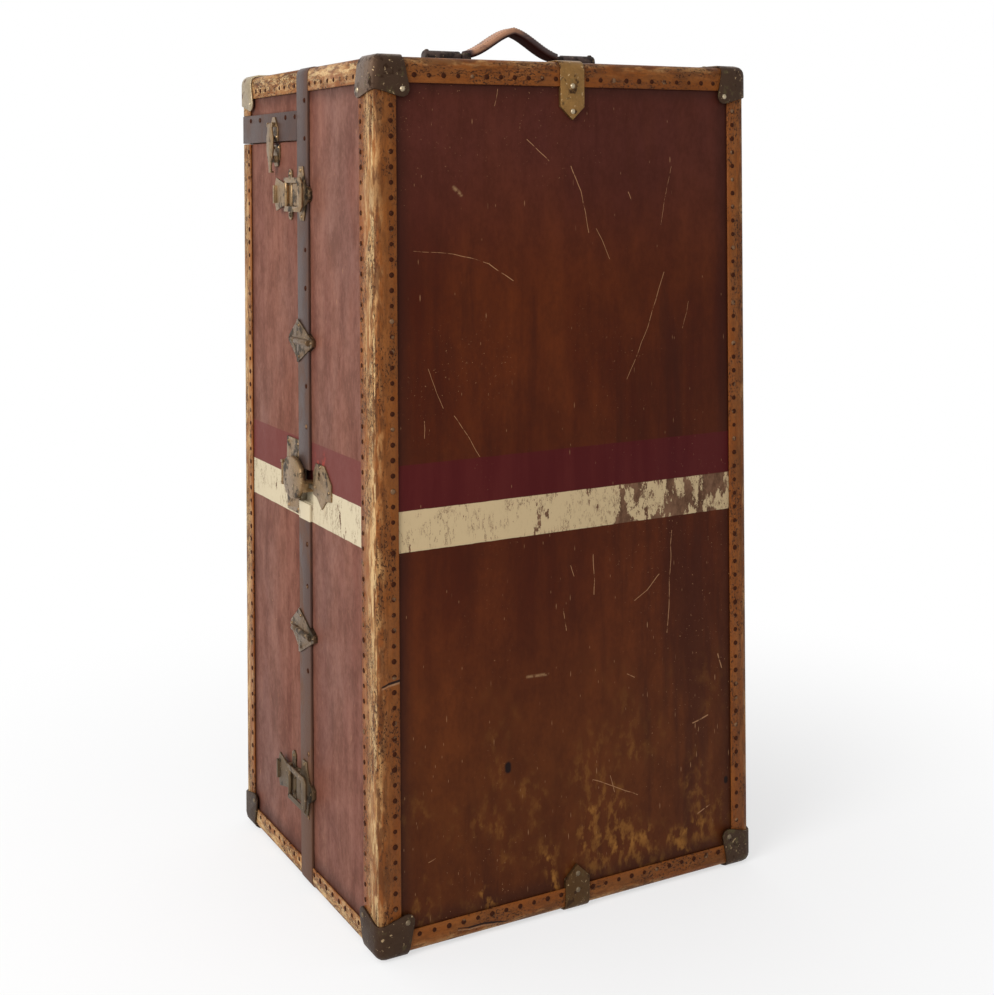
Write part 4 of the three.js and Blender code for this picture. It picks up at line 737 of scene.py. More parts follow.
def finish_named(name):
    """The material of that name, built the first time that it is asked for."""
    existing = bpy.data.materials.get(name)
    if existing:
        return existing
    finish = bpy.context.scene.trunk_finish
    # For cast metals: clean and film colour, the film's threshold, metallic, roughness, painted shade on
    # the front
    makers = {
        "painted_fibre": (fibre_material,),
        "binding_upright": (binding_material, (1, 1, 0.22), LEG_SPLIT),
        "binding_lying": (binding_material, (0.25, 0.25, 1), FOOT_TEAR),
        "old_iron": (iron_material,),
        "band_iron": (iron_material, True),
        "worn_bronze": (cast_metal, finish.bronze, Tone.BRONZE_FILM, 0.50, 0.8, 0.36, 0.85),
        "rubbed_bronze": (cast_metal, Tone.BRIGHT_BRONZE, finish.bronze, 0.54, 0.9, 0.38),
        "bright_rivet": (cast_metal, Tone.RIVET, Tone.RIVET_FILM, 0.56, 0.9, 0.30),
        "dull_brass": (cast_metal, finish.brass, finish.tarnish, 0.50, 0.88, 0.36),
        "dark_brass": (cast_metal, Tone.DARK_BRASS, finish.tarnish, 0.48, 0.88, 0.36),
        "clamp_brass": (cast_metal, Tone.CLAMP_BRASS, Tone.CLAMP_FILM, 0.50, 0.75, 0.36, 0.30),
        "bracket_iron": (cast_metal, Tone.BRACKET, Tone.BRACKET_FILM, 0.44, 0.5, 0.45),
        "rusty_nails": (nail_material,),
        "worn_leather": (leather_material,),
        "waxed_thread": (thread_material,),
        "inside_wood": (wood_material,),
        "lining": (cloth_material, finish.lining, Tone.LINING_YARN),
        "rail_steel": (steel_material,),
    }
    maker, *values = makers[name]
    return maker(name, *values)


# Pieces

# Faces deeper than this under the bindings' faces look into the trunk
LINING_DEPTH = 0.0105
# The caps' plates are as thick as the bindings stand off the floor, and their rivets stand out of them
RIVET_LEVEL = TRUNK_LOW.z + 0.0002
FITTING_BEVEL = 0.0004
HINGE_BEVEL = 0.0003
SMOOTH_ANGLE = 34


def new_piece(name, mesh, body):
    """A mesh object at the origin that rides on a body."""
    piece = bpy.data.objects.new(name, mesh)
    bpy.context.scene.collection.objects.link(piece)
    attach(piece, body)
    return piece


def mesh_from(shape, name, degrees, finishes):
    """Ends a bmesh: a smooth mesh that keeps its sharp angles and carries the finishes."""
    mesh = bpy.data.meshes.new(name)
    shape.to_mesh(mesh)
    shape.free()
    for face in mesh.polygons:
        face.use_smooth = True
    mesh.set_sharp_from_angle(angle=math.radians(degrees))
    for finish in finishes:
        mesh.materials.append(finish_named(finish))
    return mesh


def worn_copy(node, finishes, bevel, pick=None, sharp=38):
    """A copy of a solid with its loose triangles merged and its edges rubbed round."""
    shape = bmesh.new()
    shape.from_mesh(frame["nodes"][node].data)
    bmesh.ops.remove_doubles(shape, verts=shape.verts, dist=0.00001)
    flat = math.radians(1.5)
    bmesh.ops.dissolve_limit(shape, angle_limit=flat, verts=shape.verts, edges=shape.edges)
    edges = [
        edge for edge in shape.edges
        if edge.is_manifold and edge.calc_face_angle() > math.radians(sharp)
    ]
    if edges:
        bmesh.ops.bevel(shape, geom=edges, offset=bevel, offset_type="OFFSET", segments=2, profile=0.5,
                        affect="EDGES", clamp_overlap=True)
    if pick:
        for face in shape.faces:
            face.material_index = pick(face.calc_center_median())
    mesh = mesh_from(shape, "worn_" + node, SMOOTH_ANGLE, finishes)
    piece = new_piece("worn_" + node, mesh, frame["nodes"][node]["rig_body"])
    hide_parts(node)


def wire_mesh(name, runs):
    """Runs of points as loose edges; each run is a list of points and the direction they face."""
    points = []
    edges = []
    outward = []
    for places, direction in runs:
        first = len(points)
        points.extend(places)
        outward.extend([direction] * len(places))
        edges.extend((first + i, first + i + 1) for i in range(len(places) - 1))
    mesh = bpy.data.meshes.new(name)
    mesh.from_pydata(points, edges, [])
    attribute = mesh.attributes.new("out", "FLOAT_VECTOR", "POINT")
    for item, direction in zip(attribute.data, outward):
        item.vector = direction
    return mesh


def row_tree(name, defaults, segments, rings, stand):
    """Balls at one pitch along loose edges; stand gives their long side, its direction and their scale."""
    existing = bpy.data.node_groups.get(name)
    if existing:
        return existing
    tree = bpy.data.node_groups.new(name, "GeometryNodeTree")
    for way in ("INPUT", "OUTPUT"):
        tree.interface.new_socket("Geometry", in_out=way, socket_type="NodeSocketGeometry")
    for label, value in defaults.items():
        kind = "NodeSocketInt" if isinstance(value, int) else "NodeSocketFloat"
        tree.interface.new_socket(label, in_out="INPUT", socket_type=kind).default_value = value
    tree.interface.new_socket("Finish", in_out="INPUT", socket_type="NodeSocketMaterial")
    bench = Bench(tree)

    def grow(kind, feeds, **settings):
        return bench.add("GeometryNode" + kind, feeds, **settings).outputs[0]

    given = bench.add("NodeGroupInput").outputs
    long_side, direction, scale = stand(bench, given)
    rows = grow("MeshToCurve", {0: given["Geometry"]})
    rows = grow("ResampleCurve", {"Curve": rows, "Length": given["Pitch"]}, mode="LENGTH")
    ball = grow("MeshUVSphere", {"Segments": segments, "Rings": rings, "Radius": 1.0})
    size = {0: given["Radius"], 1: given["Radius"], 2: long_side}
    size = bench.add("ShaderNodeCombineXYZ", size).outputs[0]
    ball = grow("Transform", {"Geometry": ball, "Scale": size})
    turn = bench.add("FunctionNodeAlignRotationToVector", {"Vector": direction}, axis="Z").outputs[0]
    balls = grow("InstanceOnPoints", {"Points": rows, "Instance": ball, "Rotation": turn, "Scale": scale})
    balls = grow("RealizeInstances", {0: balls})
    balls = grow("SetShadeSmooth", {"Geometry": balls, "Shade Smooth": True})
    balls = grow("SetMaterial", {"Geometry": balls, "Material": given["Finish"]})
    bench.add("NodeGroupOutput", {0: balls})
    return tree


def nail_rows():
    """Domed heads that stand on the surface that their run faces, each a little larger or smaller."""
    def stand(bench, given):
        facing = {"Name": "out"}
        facing = bench.add("GeometryNodeInputNamedAttribute", facing, data_type="FLOAT_VECTOR")
        vary = {2: 0.86, 3: 1.12, "Seed": given["Seed"]}
        vary = bench.add("FunctionNodeRandomValue", vary, data_type="FLOAT")
        return given["Rise"], facing.outputs[0], vary.outputs[1]
    defaults = {"Pitch": 0.0187, "Radius": 0.0027, "Rise": 0.0011, "Seed": 7}
    return row_tree("Nail rows", defaults, 9, 5, stand)


def stitch_rows():
    """Short round stitches laid end to end."""
    def stand(bench, given):
        tangent = bench.add("GeometryNodeInputTangent").outputs[0]
        return bench.both(given["Pitch"], 0.36), tangent, (1, 1, 1)
    return row_tree("Stitches", {"Pitch": 0.0042, "Radius": 0.0005}, 6, 4, stand)


def grown_piece(name, runs, tree, values, body, finish):
    """Runs grown into a plain mesh by a geometry tree."""
    start = bpy.data.objects.new(name, wire_mesh(name + "_runs", runs))
    bpy.context.scene.collection.objects.link(start)
    modifier = start.modifiers.new("grow", "NODES")
    modifier.node_group = tree
    values = {**values, "Finish": finish_named(finish)}
    for item in tree.interface.items_tree:
        if item.item_type == "SOCKET" and item.in_out == "INPUT" and item.name in values:
            modifier[item.identifier] = values[item.name]
    bpy.context.view_layer.update()
    grown = start.evaluated_get(bpy.context.evaluated_depsgraph_get())
    mesh = bpy.data.meshes.new_from_object(grown)
    if len(mesh.polygons) == 0:
        raise RuntimeError(f"{name} grew nothing")
    bpy.data.objects.remove(start)
    mesh.materials.clear()
    mesh.materials.append(finish_named(finish))
    new_piece(name, mesh, body)


def inside_of_shell(centre):
    """1 on faces that look into the trunk, which carry the lining."""
    beside = abs(centre.x) < TRUNK_HIGH.x - LINING_DEPTH
    behind = abs(centre.y) < TRUNK_HIGH.y - LINING_DEPTH
    ends = TRUNK_LOW.z + LINING_DEPTH < centre.z < TRUNK_HIGH.z - LINING_DEPTH
    return int(beside and behind and ends)


def rivet_head(centre):
    """1 on the rivet heads of a corner cap, which stand out of its plate and are rubbed bright."""
    return int(
        abs(centre.x) > TRUNK_HIGH.x + RIVET_LEVEL
        or abs(centre.y) > TRUNK_HIGH.y + RIVET_LEVEL
        or centre.z > TRUNK_HIGH.z + RIVET_LEVEL
    )


class TRUNK_OT_shells(bpy.types.Operator):
    """Panels of the front half, the back half and the lid, with their lining"""

    bl_idname = "trunk.shells"
    bl_label = "Panels and lining"

    def execute(self, context):
        for node in ("front_shell", "back_shell", "lid_shell"):
            worn_copy(node, ["painted_fibre", "lining"], 0.0008, inside_of_shell)
        return {"FINISHED"}


class TRUNK_OT_bindings(bpy.types.Operator):
    """Fibre bindings along the edges"""

    bl_idname = "trunk.bindings"
    bl_label = "Bindings"

    def execute(self, context):
        for half in ("front", "back"):
            for side in ("left", "right"):
                worn_copy(f"{half}_binding_{side}", ["binding_upright"], 0.0010)
        for node in ("front_binding_top", "front_binding_bottom", "back_binding_bottom", "lid_binding"):
            worn_copy(node, ["binding_lying"], 0.0010)
        return {"FINISHED"}


class TRUNK_OT_bands(bpy.types.Operator):
    """Iron bands round the mouth of the front half and the lid"""

    bl_idname = "trunk.bands"
    bl_label = "Iron bands"

    def execute(self, context):
        worn_copy("front_rim_band", ["band_iron"], 0.0007)
        worn_copy("lid_band", ["old_iron"], 0.0007)
        return {"FINISHED"}


class TRUNK_OT_corner_caps(bpy.types.Operator):
    """Corner caps with their ears"""

    bl_idname = "trunk.corner_caps"
    bl_label = "Corner caps"

    def execute(self, context):
        for corner, bronze in (
            ("front_cap_top", "worn_bronze"),
            ("front_cap_bottom", "worn_bronze"),
            ("back_cap_bottom", "worn_bronze"),
            ("lid_cap", "rubbed_bronze"),
        ):
            for side in ("left", "right"):
                worn_copy(f"{corner}_{side}", [bronze, "bright_rivet"], 0.0008, rivet_head)
        return {"FINISHED"}


class TRUNK_OT_fittings(bpy.types.Operator):
    """Edge clamps, latches, dowel plates, lock and lid latch"""

    bl_idname = "trunk.fittings"
    bl_label = "Brass fittings"

    def execute(self, context):
        levels = ("upper", "lower")
        for node in ("front_clamp_top", "front_clamp_bottom"):
            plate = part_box(node)[0].y + 0.0014

            def head(centre, plate=plate):
                return int(centre.y < plate)

            worn_copy(node, ["clamp_brass", "bright_rivet"], 0.0007, head)
        nodes = [f"latch_{part}_{level}" for part in ("catch", "base", "lever", "bail") for level in levels]
        nodes += ["lock_plate", "lock_hasp_base", "lock_hasp"]
        nodes += [f"lid_latch_{part}" for part in ("base", "lever", "keeper")]
        for node in nodes:
            worn_copy(node, ["dull_brass"], FITTING_BEVEL)
        for half in ("front", "back"):
            for level in levels:
                worn_copy(f"dowel_{level}_{half}", ["dark_brass"], FITTING_BEVEL)
        worn_copy("lock_bolt", ["rail_steel"], FITTING_BEVEL)
        return {"FINISHED"}


class TRUNK_OT_hinges(bpy.types.Operator):
    """Continuous hinge on the right and the lid's hinge on the back"""

    bl_idname = "trunk.hinges"
    bl_label = "Hinges"

    def execute(self, context):
        for leaf in ("hinge_leaf_front", "hinge_leaf_back", "lid_hinge_leaf_back", "lid_hinge_leaf_top"):
            worn_copy(leaf, ["old_iron"], HINGE_BEVEL)
        worn_copy("hinge_pin", ["rail_steel"], HINGE_BEVEL)
        return {"FINISHED"}


# Handle

# Height of the axis that the handle turns on
HANDLE_AXIS = next(joint for joint in frame["joints"] if joint["name"] == "handle_tilt")["pos_m"][2]
STRAP_LOW, STRAP_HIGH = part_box("handle_strap")
STRAP_MIDDLE = (STRAP_LOW.y + STRAP_HIGH.y) / 2
# Half the arch's length, and its foot and rise above the axis
ARCH_HALF = 0.068
ARCH_FOOT = 0.0052
ARCH_RISE = 0.0333
ARCH_STEPS = 40
# The leather's half width, less at its ends, half height, and points round it
LEATHER_WIDTH = 0.0142
LEATHER_TAPER = 0.0010
LEATHER_HEIGHT = 0.0054
LEATHER_POINTS = 20
# The metal ends: blocks over the leather's ends, and the pins that they turn on
BLOCK_OVERLAP = 0.0010
BLOCK_REACH = 0.0112
BLOCK_SIZE = (0.026, 0.013)
PIN_RADIUS = 0.0042
PIN_SIDES = 16
# Stitches: height over the leather's middle, distance from it, and points left out at the ends
STITCH_HEIGHT = 0.0051
STITCH_ASIDE = 0.0112
STITCH_MARGIN = 3


def arch_line():
    """Middle line of the handle's leather, from left to right."""
    left_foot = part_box("handle_bracket_left")[1].x
    right_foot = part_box("handle_bracket_right")[0].x
    middle = (left_foot + right_foot) / 2
    points = []
    for i in range(ARCH_STEPS + 1):
        t = 2 * i / ARCH_STEPS - 1
        share = 0.45 * (1 - abs(t)) + 0.275 * (1 + math.cos(math.pi * t))
        height = HANDLE_AXIS + ARCH_FOOT + ARCH_RISE * share
        points.append(Vector((middle + t * ARCH_HALF, STRAP_MIDDLE, height)))
    return points


def upward(line, i):
    """Direction out of the arch at one of its points."""
    forward = (line[min(i + 1, len(line) - 1)] - line[max(i - 1, 0)]).normalized()
    return Vector((-forward.z, 0, forward.x))


def handle_section(share):
    """Outline across the handle: y and height round its middle, from under the middle."""
    foot = min(share, 1 - share)
    half_width = LEATHER_WIDTH - LEATHER_TAPER * max(0.0, 1 - foot / 0.04)
    outline = []
    for i in range(LEATHER_POINTS):
        angle = -math.pi / 2 + 2 * math.pi * i / LEATHER_POINTS
        across = math.copysign(abs(math.cos(angle)) ** 0.34, math.cos(angle))
        height = math.copysign(abs(math.sin(angle)) ** 0.50, math.sin(angle))
        outline.append((half_width * across, LEATHER_HEIGHT * height))
    return outline


class TRUNK_OT_handle(bpy.types.Operator):
    """Leather handle with its metal ends and brackets"""

    bl_idname = "trunk.handle"
    bl_label = "Handle"

    def execute(self, context):
        line = arch_line()
        self.leather(line)
        self.stitches(line)
        self.ends(line)
        for side in ("left", "right"):
            worn_copy(f"handle_bracket_{side}", ["bracket_iron"], 0.0006)
        return {"FINISHED"}

    def leather(self, line):
        shape = bmesh.new()
        layer = shape.loops.layers.uv.new("UVMap")
        steps = len(line) - 1
        rings = []
        for i, point in enumerate(line):
            up = upward(line, i)
            section = handle_section(i / steps)
            rings.append([shape.verts.new(point + Vector((0, y, 0)) + up * z) for y, z in section])
        for i in range(steps):
            for j in range(LEATHER_POINTS):
                k = (j + 1) % LEATHER_POINTS
                face = shape.faces.new((rings[i][j], rings[i][k], rings[i + 1][k], rings[i + 1][j]))
                corners = ((i, j), (i, j + 1), (i + 1, j + 1), (i + 1, j))
                for loop, (a, b) in zip(face.loops, corners):
                    loop[layer].uv = (a / steps, b / LEATHER_POINTS)
        shape.faces.new(rings[0])
        shape.faces.new(rings[-1])
        bmesh.ops.recalc_face_normals(shape, faces=shape.faces)
        mesh = mesh_from(shape, "handle_leather", 50, ["worn_leather"])
        grip = new_piece("handle_leather", mesh, "handle")
        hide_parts("handle_strap")

    def stitches(self, line):
        runs = []
        for side in (-1, 1):
            aside = Vector((0, side * STITCH_ASIDE, 0))
            places = [
                line[i] + upward(line, i) * STITCH_HEIGHT + aside
                for i in range(STITCH_MARGIN, len(line) - STITCH_MARGIN)
            ]
            runs.append((places, (0, 0, 1)))
        values = {"Pitch": bpy.context.scene.trunk_nails.stitch_pitch}
        grown_piece("handle_stitches", runs, stitch_rows(), values, "handle",
                    "waxed_thread")

    def ends(self, line):
        shape = bmesh.new()
        edges = []
        for side, foot, tip in ((-1, line[0].x, STRAP_LOW.x), (1, line[-1].x, STRAP_HIGH.x)):
            inner = foot - side * BLOCK_OVERLAP
            outer = foot + side * BLOCK_REACH
            block = bmesh.ops.create_cube(shape, size=1.0)["verts"]
            for vert in block:
                vert.co = Vector((
                    (inner + outer) / 2 + vert.co.x * abs(outer - inner),
                    STRAP_MIDDLE + vert.co.y * BLOCK_SIZE[0],
                    HANDLE_AXIS + vert.co.z * BLOCK_SIZE[1],
                ))
            edges.extend(dict.fromkeys(edge for vert in block for edge in vert.link_edges))
            self.pin(shape, (outer + tip) / 2, abs(tip - outer) / 2 + 0.0005)
        bmesh.ops.bevel(shape, geom=edges, offset=0.002, segments=3, profile=0.5, affect="EDGES")
        bmesh.ops.recalc_face_normals(shape, faces=shape.faces)
        new_piece("handle_ends", mesh_from(shape, "handle_ends", 40, ["bracket_iron"]), "handle")

    def pin(self, shape, middle, half):
        """A pin with flat ends; its corners are laid in turn, so its faces are the same each run."""
        rings = []
        for x in (middle - half, middle + half):
            ring = []
            for i in range(PIN_SIDES):
                angle = 2 * math.pi * i / PIN_SIDES
                y = STRAP_MIDDLE + PIN_RADIUS * math.cos(angle)
                ring.append(shape.verts.new((x, y, HANDLE_AXIS - PIN_RADIUS * math.sin(angle))))
            shape.faces.new(ring)
            rings.append(ring)
        near, far = rings
        for i in range(PIN_SIDES):
            shape.faces.new((near[i - 1], near[i], far[i], far[i - 1]))


# Inside

def inside_of_drawer(low, high):
    """1 on the faces inside a drawer, which are papered."""
    def pick(centre):
        beside = low.x + 0.004 < centre.x < high.x - 0.004
        behind = low.y + 0.004 < centre.y < high.y - 0.006
        return int(beside and behind and centre.z > low.z + 0.003)
    return pick


class TRUNK_OT_drawers(bpy.types.Operator):
    """Drawers and the rack that holds them"""

    bl_idname = "trunk.drawers"
    bl_label = "Drawers"

    def execute(self, context):
        worn_copy("drawer_rack", ["inside_wood"], 0.0008)
        for index in (1, 2, 3, 4):
            node = f"drawer_{index}"
            papered = inside_of_drawer(*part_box(node))
            worn_copy(node, ["inside_wood", "lining"], 0.0008, papered)
        return {"FINISHED"}


class TRUNK_OT_hanging(bpy.types.Operator):
    """Rail, its mount and the hangers"""

    bl_idname = "trunk.hanging"
    bl_label = "Rail and hangers"

    def execute(self, context):
        worn_copy("rail_mount", ["inside_wood"], 0.0006)
        worn_copy("hanger_rail", ["rail_steel"], 0.0004, sharp=50)
        for index in (1, 2, 3):
            node = f"hanger_{index}"
            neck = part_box(node)[1].z - 0.048

            def metal(centre, neck=neck):
                return int(centre.z > neck and abs(centre.x) < 0.016)

            worn_copy(node, ["inside_wood", "rail_steel"], 0.0012, metal, 50)
        return {"FINISHED"}


# Nails and rivets

RIGHT = (1, 0, 0)
AHEAD = (0, -1, 0)
BEHIND = (0, 1, 0)
UP = (0, 0, 1)
DOWN = (0, 0, -1)
# Nail rows: how far they run, in from the trunk's edges and clear of clamps, bands and seams
CORNER = 0.062
TOP_CORNER = 0.060
HALF_ROW = 0.226
HALF_CLAMP = 0.024
CLEAR_AHEAD = 0.006
CLEAR_BEHIND = 0.010
CLEAR_SEAM = 0.012
# How far in from the edge each row lies
UPPER_ROW = 0.0225
LOWER_ROW = 0.0215
LEG_ROW = 0.022
FLAT_ROW = 0.029
SIDE_ROW_AHEAD = 0.041
SIDE_ROW_BEHIND = 0.030
# Rivets of the bands, as seen; those on unseen sides carry on at like spaces
BAND_RIVET_HEIGHTS = (0.095, 0.180, 0.291, 0.404, 0.460, 0.617, 0.671, 0.802, 0.853, 1.002, 1.053)
BAND_RIVETS_ACROSS = (-0.21, -0.14, -0.07, 0.0, 0.07, 0.14, 0.21)
LID_RIVETS_ALONG = (0.021, 0.056, 0.158, 0.197)
LID_RIVETS_ACROSS = (-0.24, -0.16, -0.08, 0.0, 0.08, 0.16, 0.24)


def row(axis, span, fixed, direction):
    """A straight run of nails along one axis."""
    run = [Vector(fixed), Vector(fixed)]
    for point, place in zip(run, span):
        point["xyz".index(axis)] = place
    return run, direction


def mirrored(*rows):
    """Rows given for the right side, on the left side first and then on the right."""
    return [
        row(axis, span, (sign * x, y, z), (sign * out[0], *out[1:]))
        for sign in (-1, 1)
        for axis, span, (x, y, z), out in rows
    ]


def nail_runs():
    """The rows of the front half, of the back half and of the lid."""
    side, back, top = TRUNK_HIGH
    front = -back
    bottom = TRUNK_LOW.z
    leg = side - LEG_ROW
    flat = side - FLAT_ROW
    upper = top - UPPER_ROW
    lower = bottom + LOWER_ROW
    across = (-HALF_ROW, HALF_ROW)
    upright = (CORNER, top - TOP_CORNER)
    depth = (front + CORNER, BAND_LOW.y - CLEAR_AHEAD)
    front_runs = mirrored(("z", upright, (leg, front, 0), AHEAD))
    for span in ((-HALF_ROW, -HALF_CLAMP), (HALF_CLAMP, HALF_ROW)):
        front_runs += [
            row("x", span, (0, front, upper), AHEAD),
            row("x", span, (0, front, lower), AHEAD),
            row("x", span, (0, front + FLAT_ROW, top), UP),
            row("x", span, (0, front + FLAT_ROW, bottom), DOWN),
        ]
    front_runs += mirrored(
        ("z", upright, (side, front + SIDE_ROW_AHEAD, 0), RIGHT),
        ("y", depth, (side, 0, upper), RIGHT),
        ("y", depth, (side, 0, lower), RIGHT),
        ("y", depth, (flat, 0, top), UP),
        ("y", depth, (flat, 0, bottom), DOWN),
    )
    upright = (CORNER, LID_SEAM - CLEAR_SEAM)
    depth = (BAND_HIGH.y + CLEAR_BEHIND, back - CORNER)
    back_runs = mirrored(("z", upright, (leg, back, 0), BEHIND)) + [
        row("x", across, (0, back, lower), BEHIND),
        row("x", across, (0, back - FLAT_ROW, bottom), DOWN),
    ] + mirrored(
        ("z", upright, (side, back - SIDE_ROW_BEHIND, 0), RIGHT),
        ("y", depth, (side, 0, lower), RIGHT),
    )
    lid_runs = [
        row("x", across, (0, back, upper), BEHIND),
        row("x", across, (0, back - FLAT_ROW, top), UP),
    ] + mirrored(
        ("y", depth, (side, 0, upper), RIGHT),
        ("y", depth, (flat, 0, top), UP),
    )
    return front_runs, back_runs, lid_runs


def rivet_runs():
    """The rivets of the front half's band and of the lid's."""
    band_runs = []
    for z in BAND_RIVET_HEIGHTS:
        band_runs.append(single((BAND_LOW.x, BAND_LOW.y + 0.009, z), (-1, 0, 0)))
        band_runs.append(single((BAND_HIGH.x, BAND_LOW.y + 0.005, z), RIGHT))
    for x in BAND_RIVETS_ACROSS:
        band_runs.append(single((x, BAND_MIDDLE, BAND_HIGH.z), UP))
        band_runs.append(single((x, BAND_MIDDLE, BAND_LOW.z), DOWN))
    lid_runs = []
    level = LID_BAND_HIGH.z - 0.008
    for y in LID_RIVETS_ALONG:
        lid_runs.append(single((LID_BAND_LOW.x, y, level), (-1, 0, 0)))
        lid_runs.append(single((LID_BAND_HIGH.x, y, level), RIGHT))
    for x in LID_RIVETS_ACROSS:
        lid_runs.append(single((x, LID_BAND_HIGH.y, level), BEHIND))
    return band_runs, lid_runs


def single(place, direction):
    """A run so short that it holds one rivet."""
    x, y, z = direction
    aside = Vector((y, z, x)) * 0.0001
    return [Vector(place) - aside, Vector(place) + aside], direction


class TRUNK_OT_nails(bpy.types.Operator):
    """Nails of the bindings and rivets of the iron bands"""

    bl_idname = "trunk.nails"
    bl_label = "Nails and rivets"

    def execute(self, context):
        settings = context.scene.trunk_nails
        nails = {"Pitch": settings.pitch, "Radius": settings.radius, "Rise": settings.rise}
        rivets = {"Pitch": 0.01, "Radius": settings.rivet_radius, "Rise": settings.rise * 1.4}
        front_runs, back_runs, lid_runs = nail_runs()
        band_rivets, lid_rivets = rivet_runs()
        for name, runs, values, body in (
            ("front_nails", front_runs, nails, "front_half"),
            ("back_nails", back_runs, nails, "back_half"),
            ("lid_nails", lid_runs, nails, "lid"),
            ("band_rivets", band_rivets, rivets, "front_half"),
            ("lid_rivets", lid_rivets, rivets, "lid"),
        ):
            grown_piece(name, runs, nail_rows(), values, body, "rusty_nails")
        return {"FINISHED"}


# Stage

FLOOR_RADIUS = 6.0
KEY_SIZE = 2.4
KEY_PLACE = (-3.3, -1.5, 2.5)
KEY_AIM = Vector((0, 0, 0.55))
BACKDROP_SIDE = Vector((-0.72, 0.42, 0.55)).normalized()
# Camera solved from the photo's edges: it is level, and its frame is shifted
CAMERA_PLACE = (-1.0246, -1.9065, 0.9482)
CAMERA_TURN = (math.pi / 2, 0.0066, -0.5011)
CAMERA_LENS = 54.64
CAMERA_SHIFT = -0.3216


def background_rays(bench):
    """1 for the rays in which the white background shows, straight, mirrored or through glass."""
    path = bench.add("ShaderNodeLightPath").outputs
    return bench.either(path["Is Camera Ray"], path["Is Glossy Ray"], path["Is Transmission Ray"])


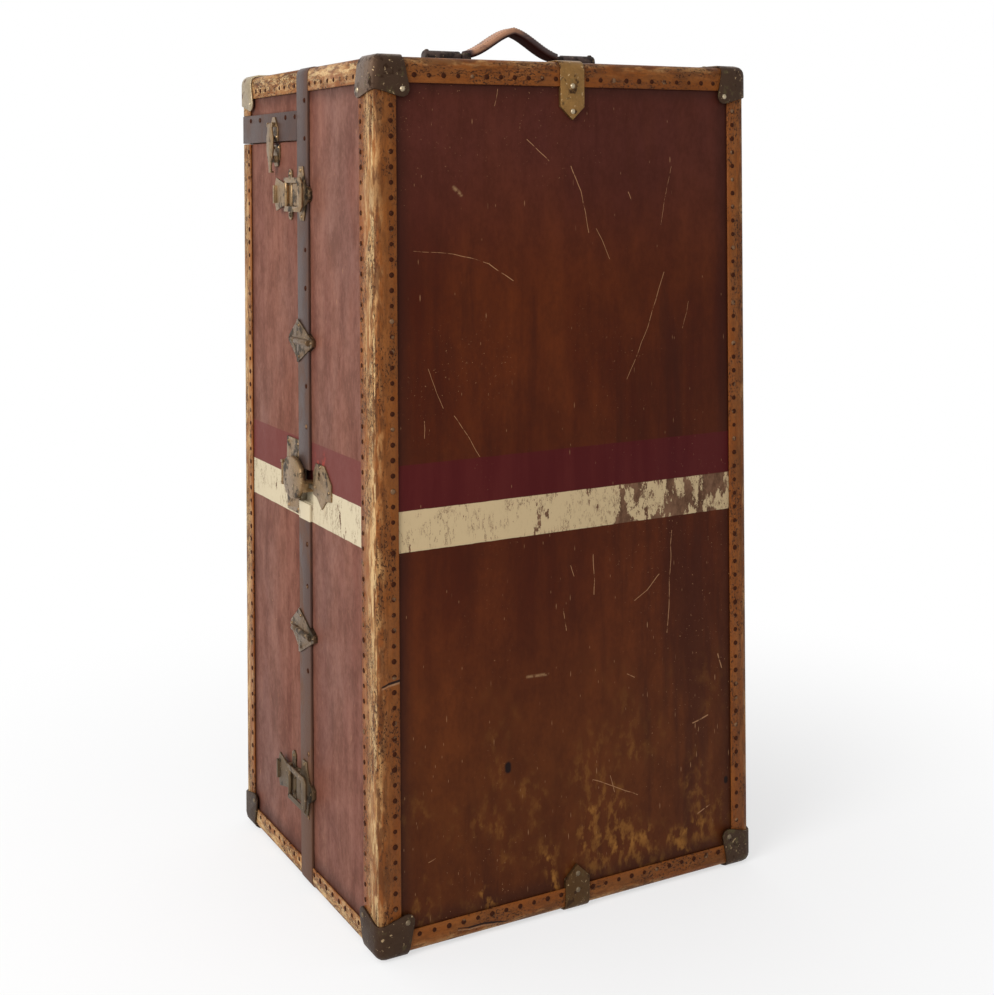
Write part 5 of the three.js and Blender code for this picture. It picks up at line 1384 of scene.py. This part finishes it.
class TRUNK_OT_stage(bpy.types.Operator):
    """Floor, light and camera"""

    bl_idname = "trunk.stage"
    bl_label = "Stage"

    def execute(self, context):
        self.floor(context)
        self.room(context)
        self.lamps(context)
        self.camera(context)
        context.scene.view_settings.view_transform = "Standard"
        return {"FINISHED"}

    def floor(self, context):
        """A pale disc that keeps the shadow and fades into the white backdrop."""
        shape = bmesh.new()
        bmesh.ops.create_circle(shape, cap_ends=True, segments=64, radius=FLOOR_RADIUS)
        mesh = bpy.data.meshes.new("floor")
        shape.to_mesh(mesh)
        shape.free()
        floor = bpy.data.objects.new("floor", mesh)
        context.scene.collection.objects.link(floor)
        coat = Coat("pale_floor", context.scene.trunk_stage.floor)
        coat.feed(coat.shader.inputs["Base Color"], coat.base)
        coat.feed(coat.shader.inputs["Roughness"], 0.9)
        far = coat.step(coat.vector("LENGTH", coat.place()), 0.35, 1.25, 0.62, 1.0)
        share = coat.both(far, background_rays(coat))
        white = coat.add("ShaderNodeEmission", {"Color": (1, 1, 1), "Strength": 1.0})
        feeds = {0: share, 1: coat.shader.outputs[0], 2: white.outputs[0]}
        blend = coat.add("ShaderNodeMixShader", feeds)
        coat.feed(coat.end.inputs["Surface"], blend.outputs[0])
        mesh.materials.append(coat.material)

    def room(self, context):
        """White to the camera; to the trunk, a white backdrop behind and to the left."""
        stage = context.scene.trunk_stage
        world = bpy.data.worlds.new("room")
        context.scene.world = world
        world.use_nodes = True
        world.node_tree.nodes.clear()
        bench = Bench(world.node_tree)
        toward = bench.add("ShaderNodeTexCoord").outputs["Generated"]
        side = bench.vector("DOT_PRODUCT", toward, BACKDROP_SIDE)
        light = bench.step(side, -0.55, 0.75, stage.sky_dim, stage.sky_bright)
        light = bench.either(light, background_rays(bench))
        glow = bench.add("ShaderNodeBackground", {"Color": (1, 1, 1), "Strength": light})
        bench.add("ShaderNodeOutputWorld", {0: glow.outputs[0]})

    def lamps(self, context):
        lamp = bpy.data.lights.new("key", "AREA")
        lamp.shape = "DISK"
        lamp.size = KEY_SIZE
        lamp.energy = context.scene.trunk_stage.key_power
        holder = bpy.data.objects.new("key", lamp)
        holder.location = KEY_PLACE
        aim = KEY_AIM - holder.location
        holder.rotation_euler = aim.to_track_quat("-Z", "Y").to_euler()
        context.scene.collection.objects.link(holder)

    def camera(self, context):
        data = bpy.data.cameras.new("camera")
        data.sensor_width = 36
        data.lens = CAMERA_LENS
        data.shift_y = CAMERA_SHIFT
        data.clip_start = 0.05
        camera = bpy.data.objects.new("camera", data)
        camera.location = CAMERA_PLACE
        camera.rotation_euler = CAMERA_TURN
        context.scene.collection.objects.link(camera)
        context.scene.camera = camera


# Add-on

OPERATORS = (
    TRUNK_OT_shells,
    TRUNK_OT_bindings,
    TRUNK_OT_bands,
    TRUNK_OT_corner_caps,
    TRUNK_OT_fittings,
    TRUNK_OT_hinges,
    TRUNK_OT_handle,
    TRUNK_OT_drawers,
    TRUNK_OT_hanging,
    TRUNK_OT_nails,
    TRUNK_OT_stage,
)

SETTINGS = {
    "trunk_paint": TrunkPaint,
    "trunk_finish": TrunkFinish,
    "trunk_nails": TrunkNails,
    "trunk_stage": TrunkStage,
}


class TRUNK_PT_panel(bpy.types.Panel):
    """Settings and steps of the trunk"""

    bl_idname = "TRUNK_PT_panel"
    bl_label = "Wardrobe trunk"
    bl_space_type = "VIEW_3D"
    bl_region_type = "UI"
    bl_category = "Trunk"

    def draw(self, context):
        for name, kind in SETTINGS.items():
            box = self.layout.box()
            for setting in kind.__annotations__:
                box.prop(getattr(context.scene, name), setting)
        column = self.layout.column()
        for operator in OPERATORS:
            column.operator(operator.bl_idname)


def register():
    for kind in SETTINGS.values():
        bpy.utils.register_class(kind)
    for name, kind in SETTINGS.items():
        setattr(bpy.types.Scene, name, bpy.props.PointerProperty(type=kind))
    for kind in (*OPERATORS, TRUNK_PT_panel):
        bpy.utils.register_class(kind)


def unregister():
    for kind in (TRUNK_PT_panel, *reversed(OPERATORS)):
        bpy.utils.unregister_class(kind)
    for name in SETTINGS:
        delattr(bpy.types.Scene, name)
    for kind in reversed(list(SETTINGS.values())):
        bpy.utils.unregister_class(kind)


def main():
    register()
    for operator in OPERATORS:
        group, name = operator.bl_idname.split(".")
        getattr(getattr(bpy.ops, group), name)()


if __name__ == "__main__":
    main()
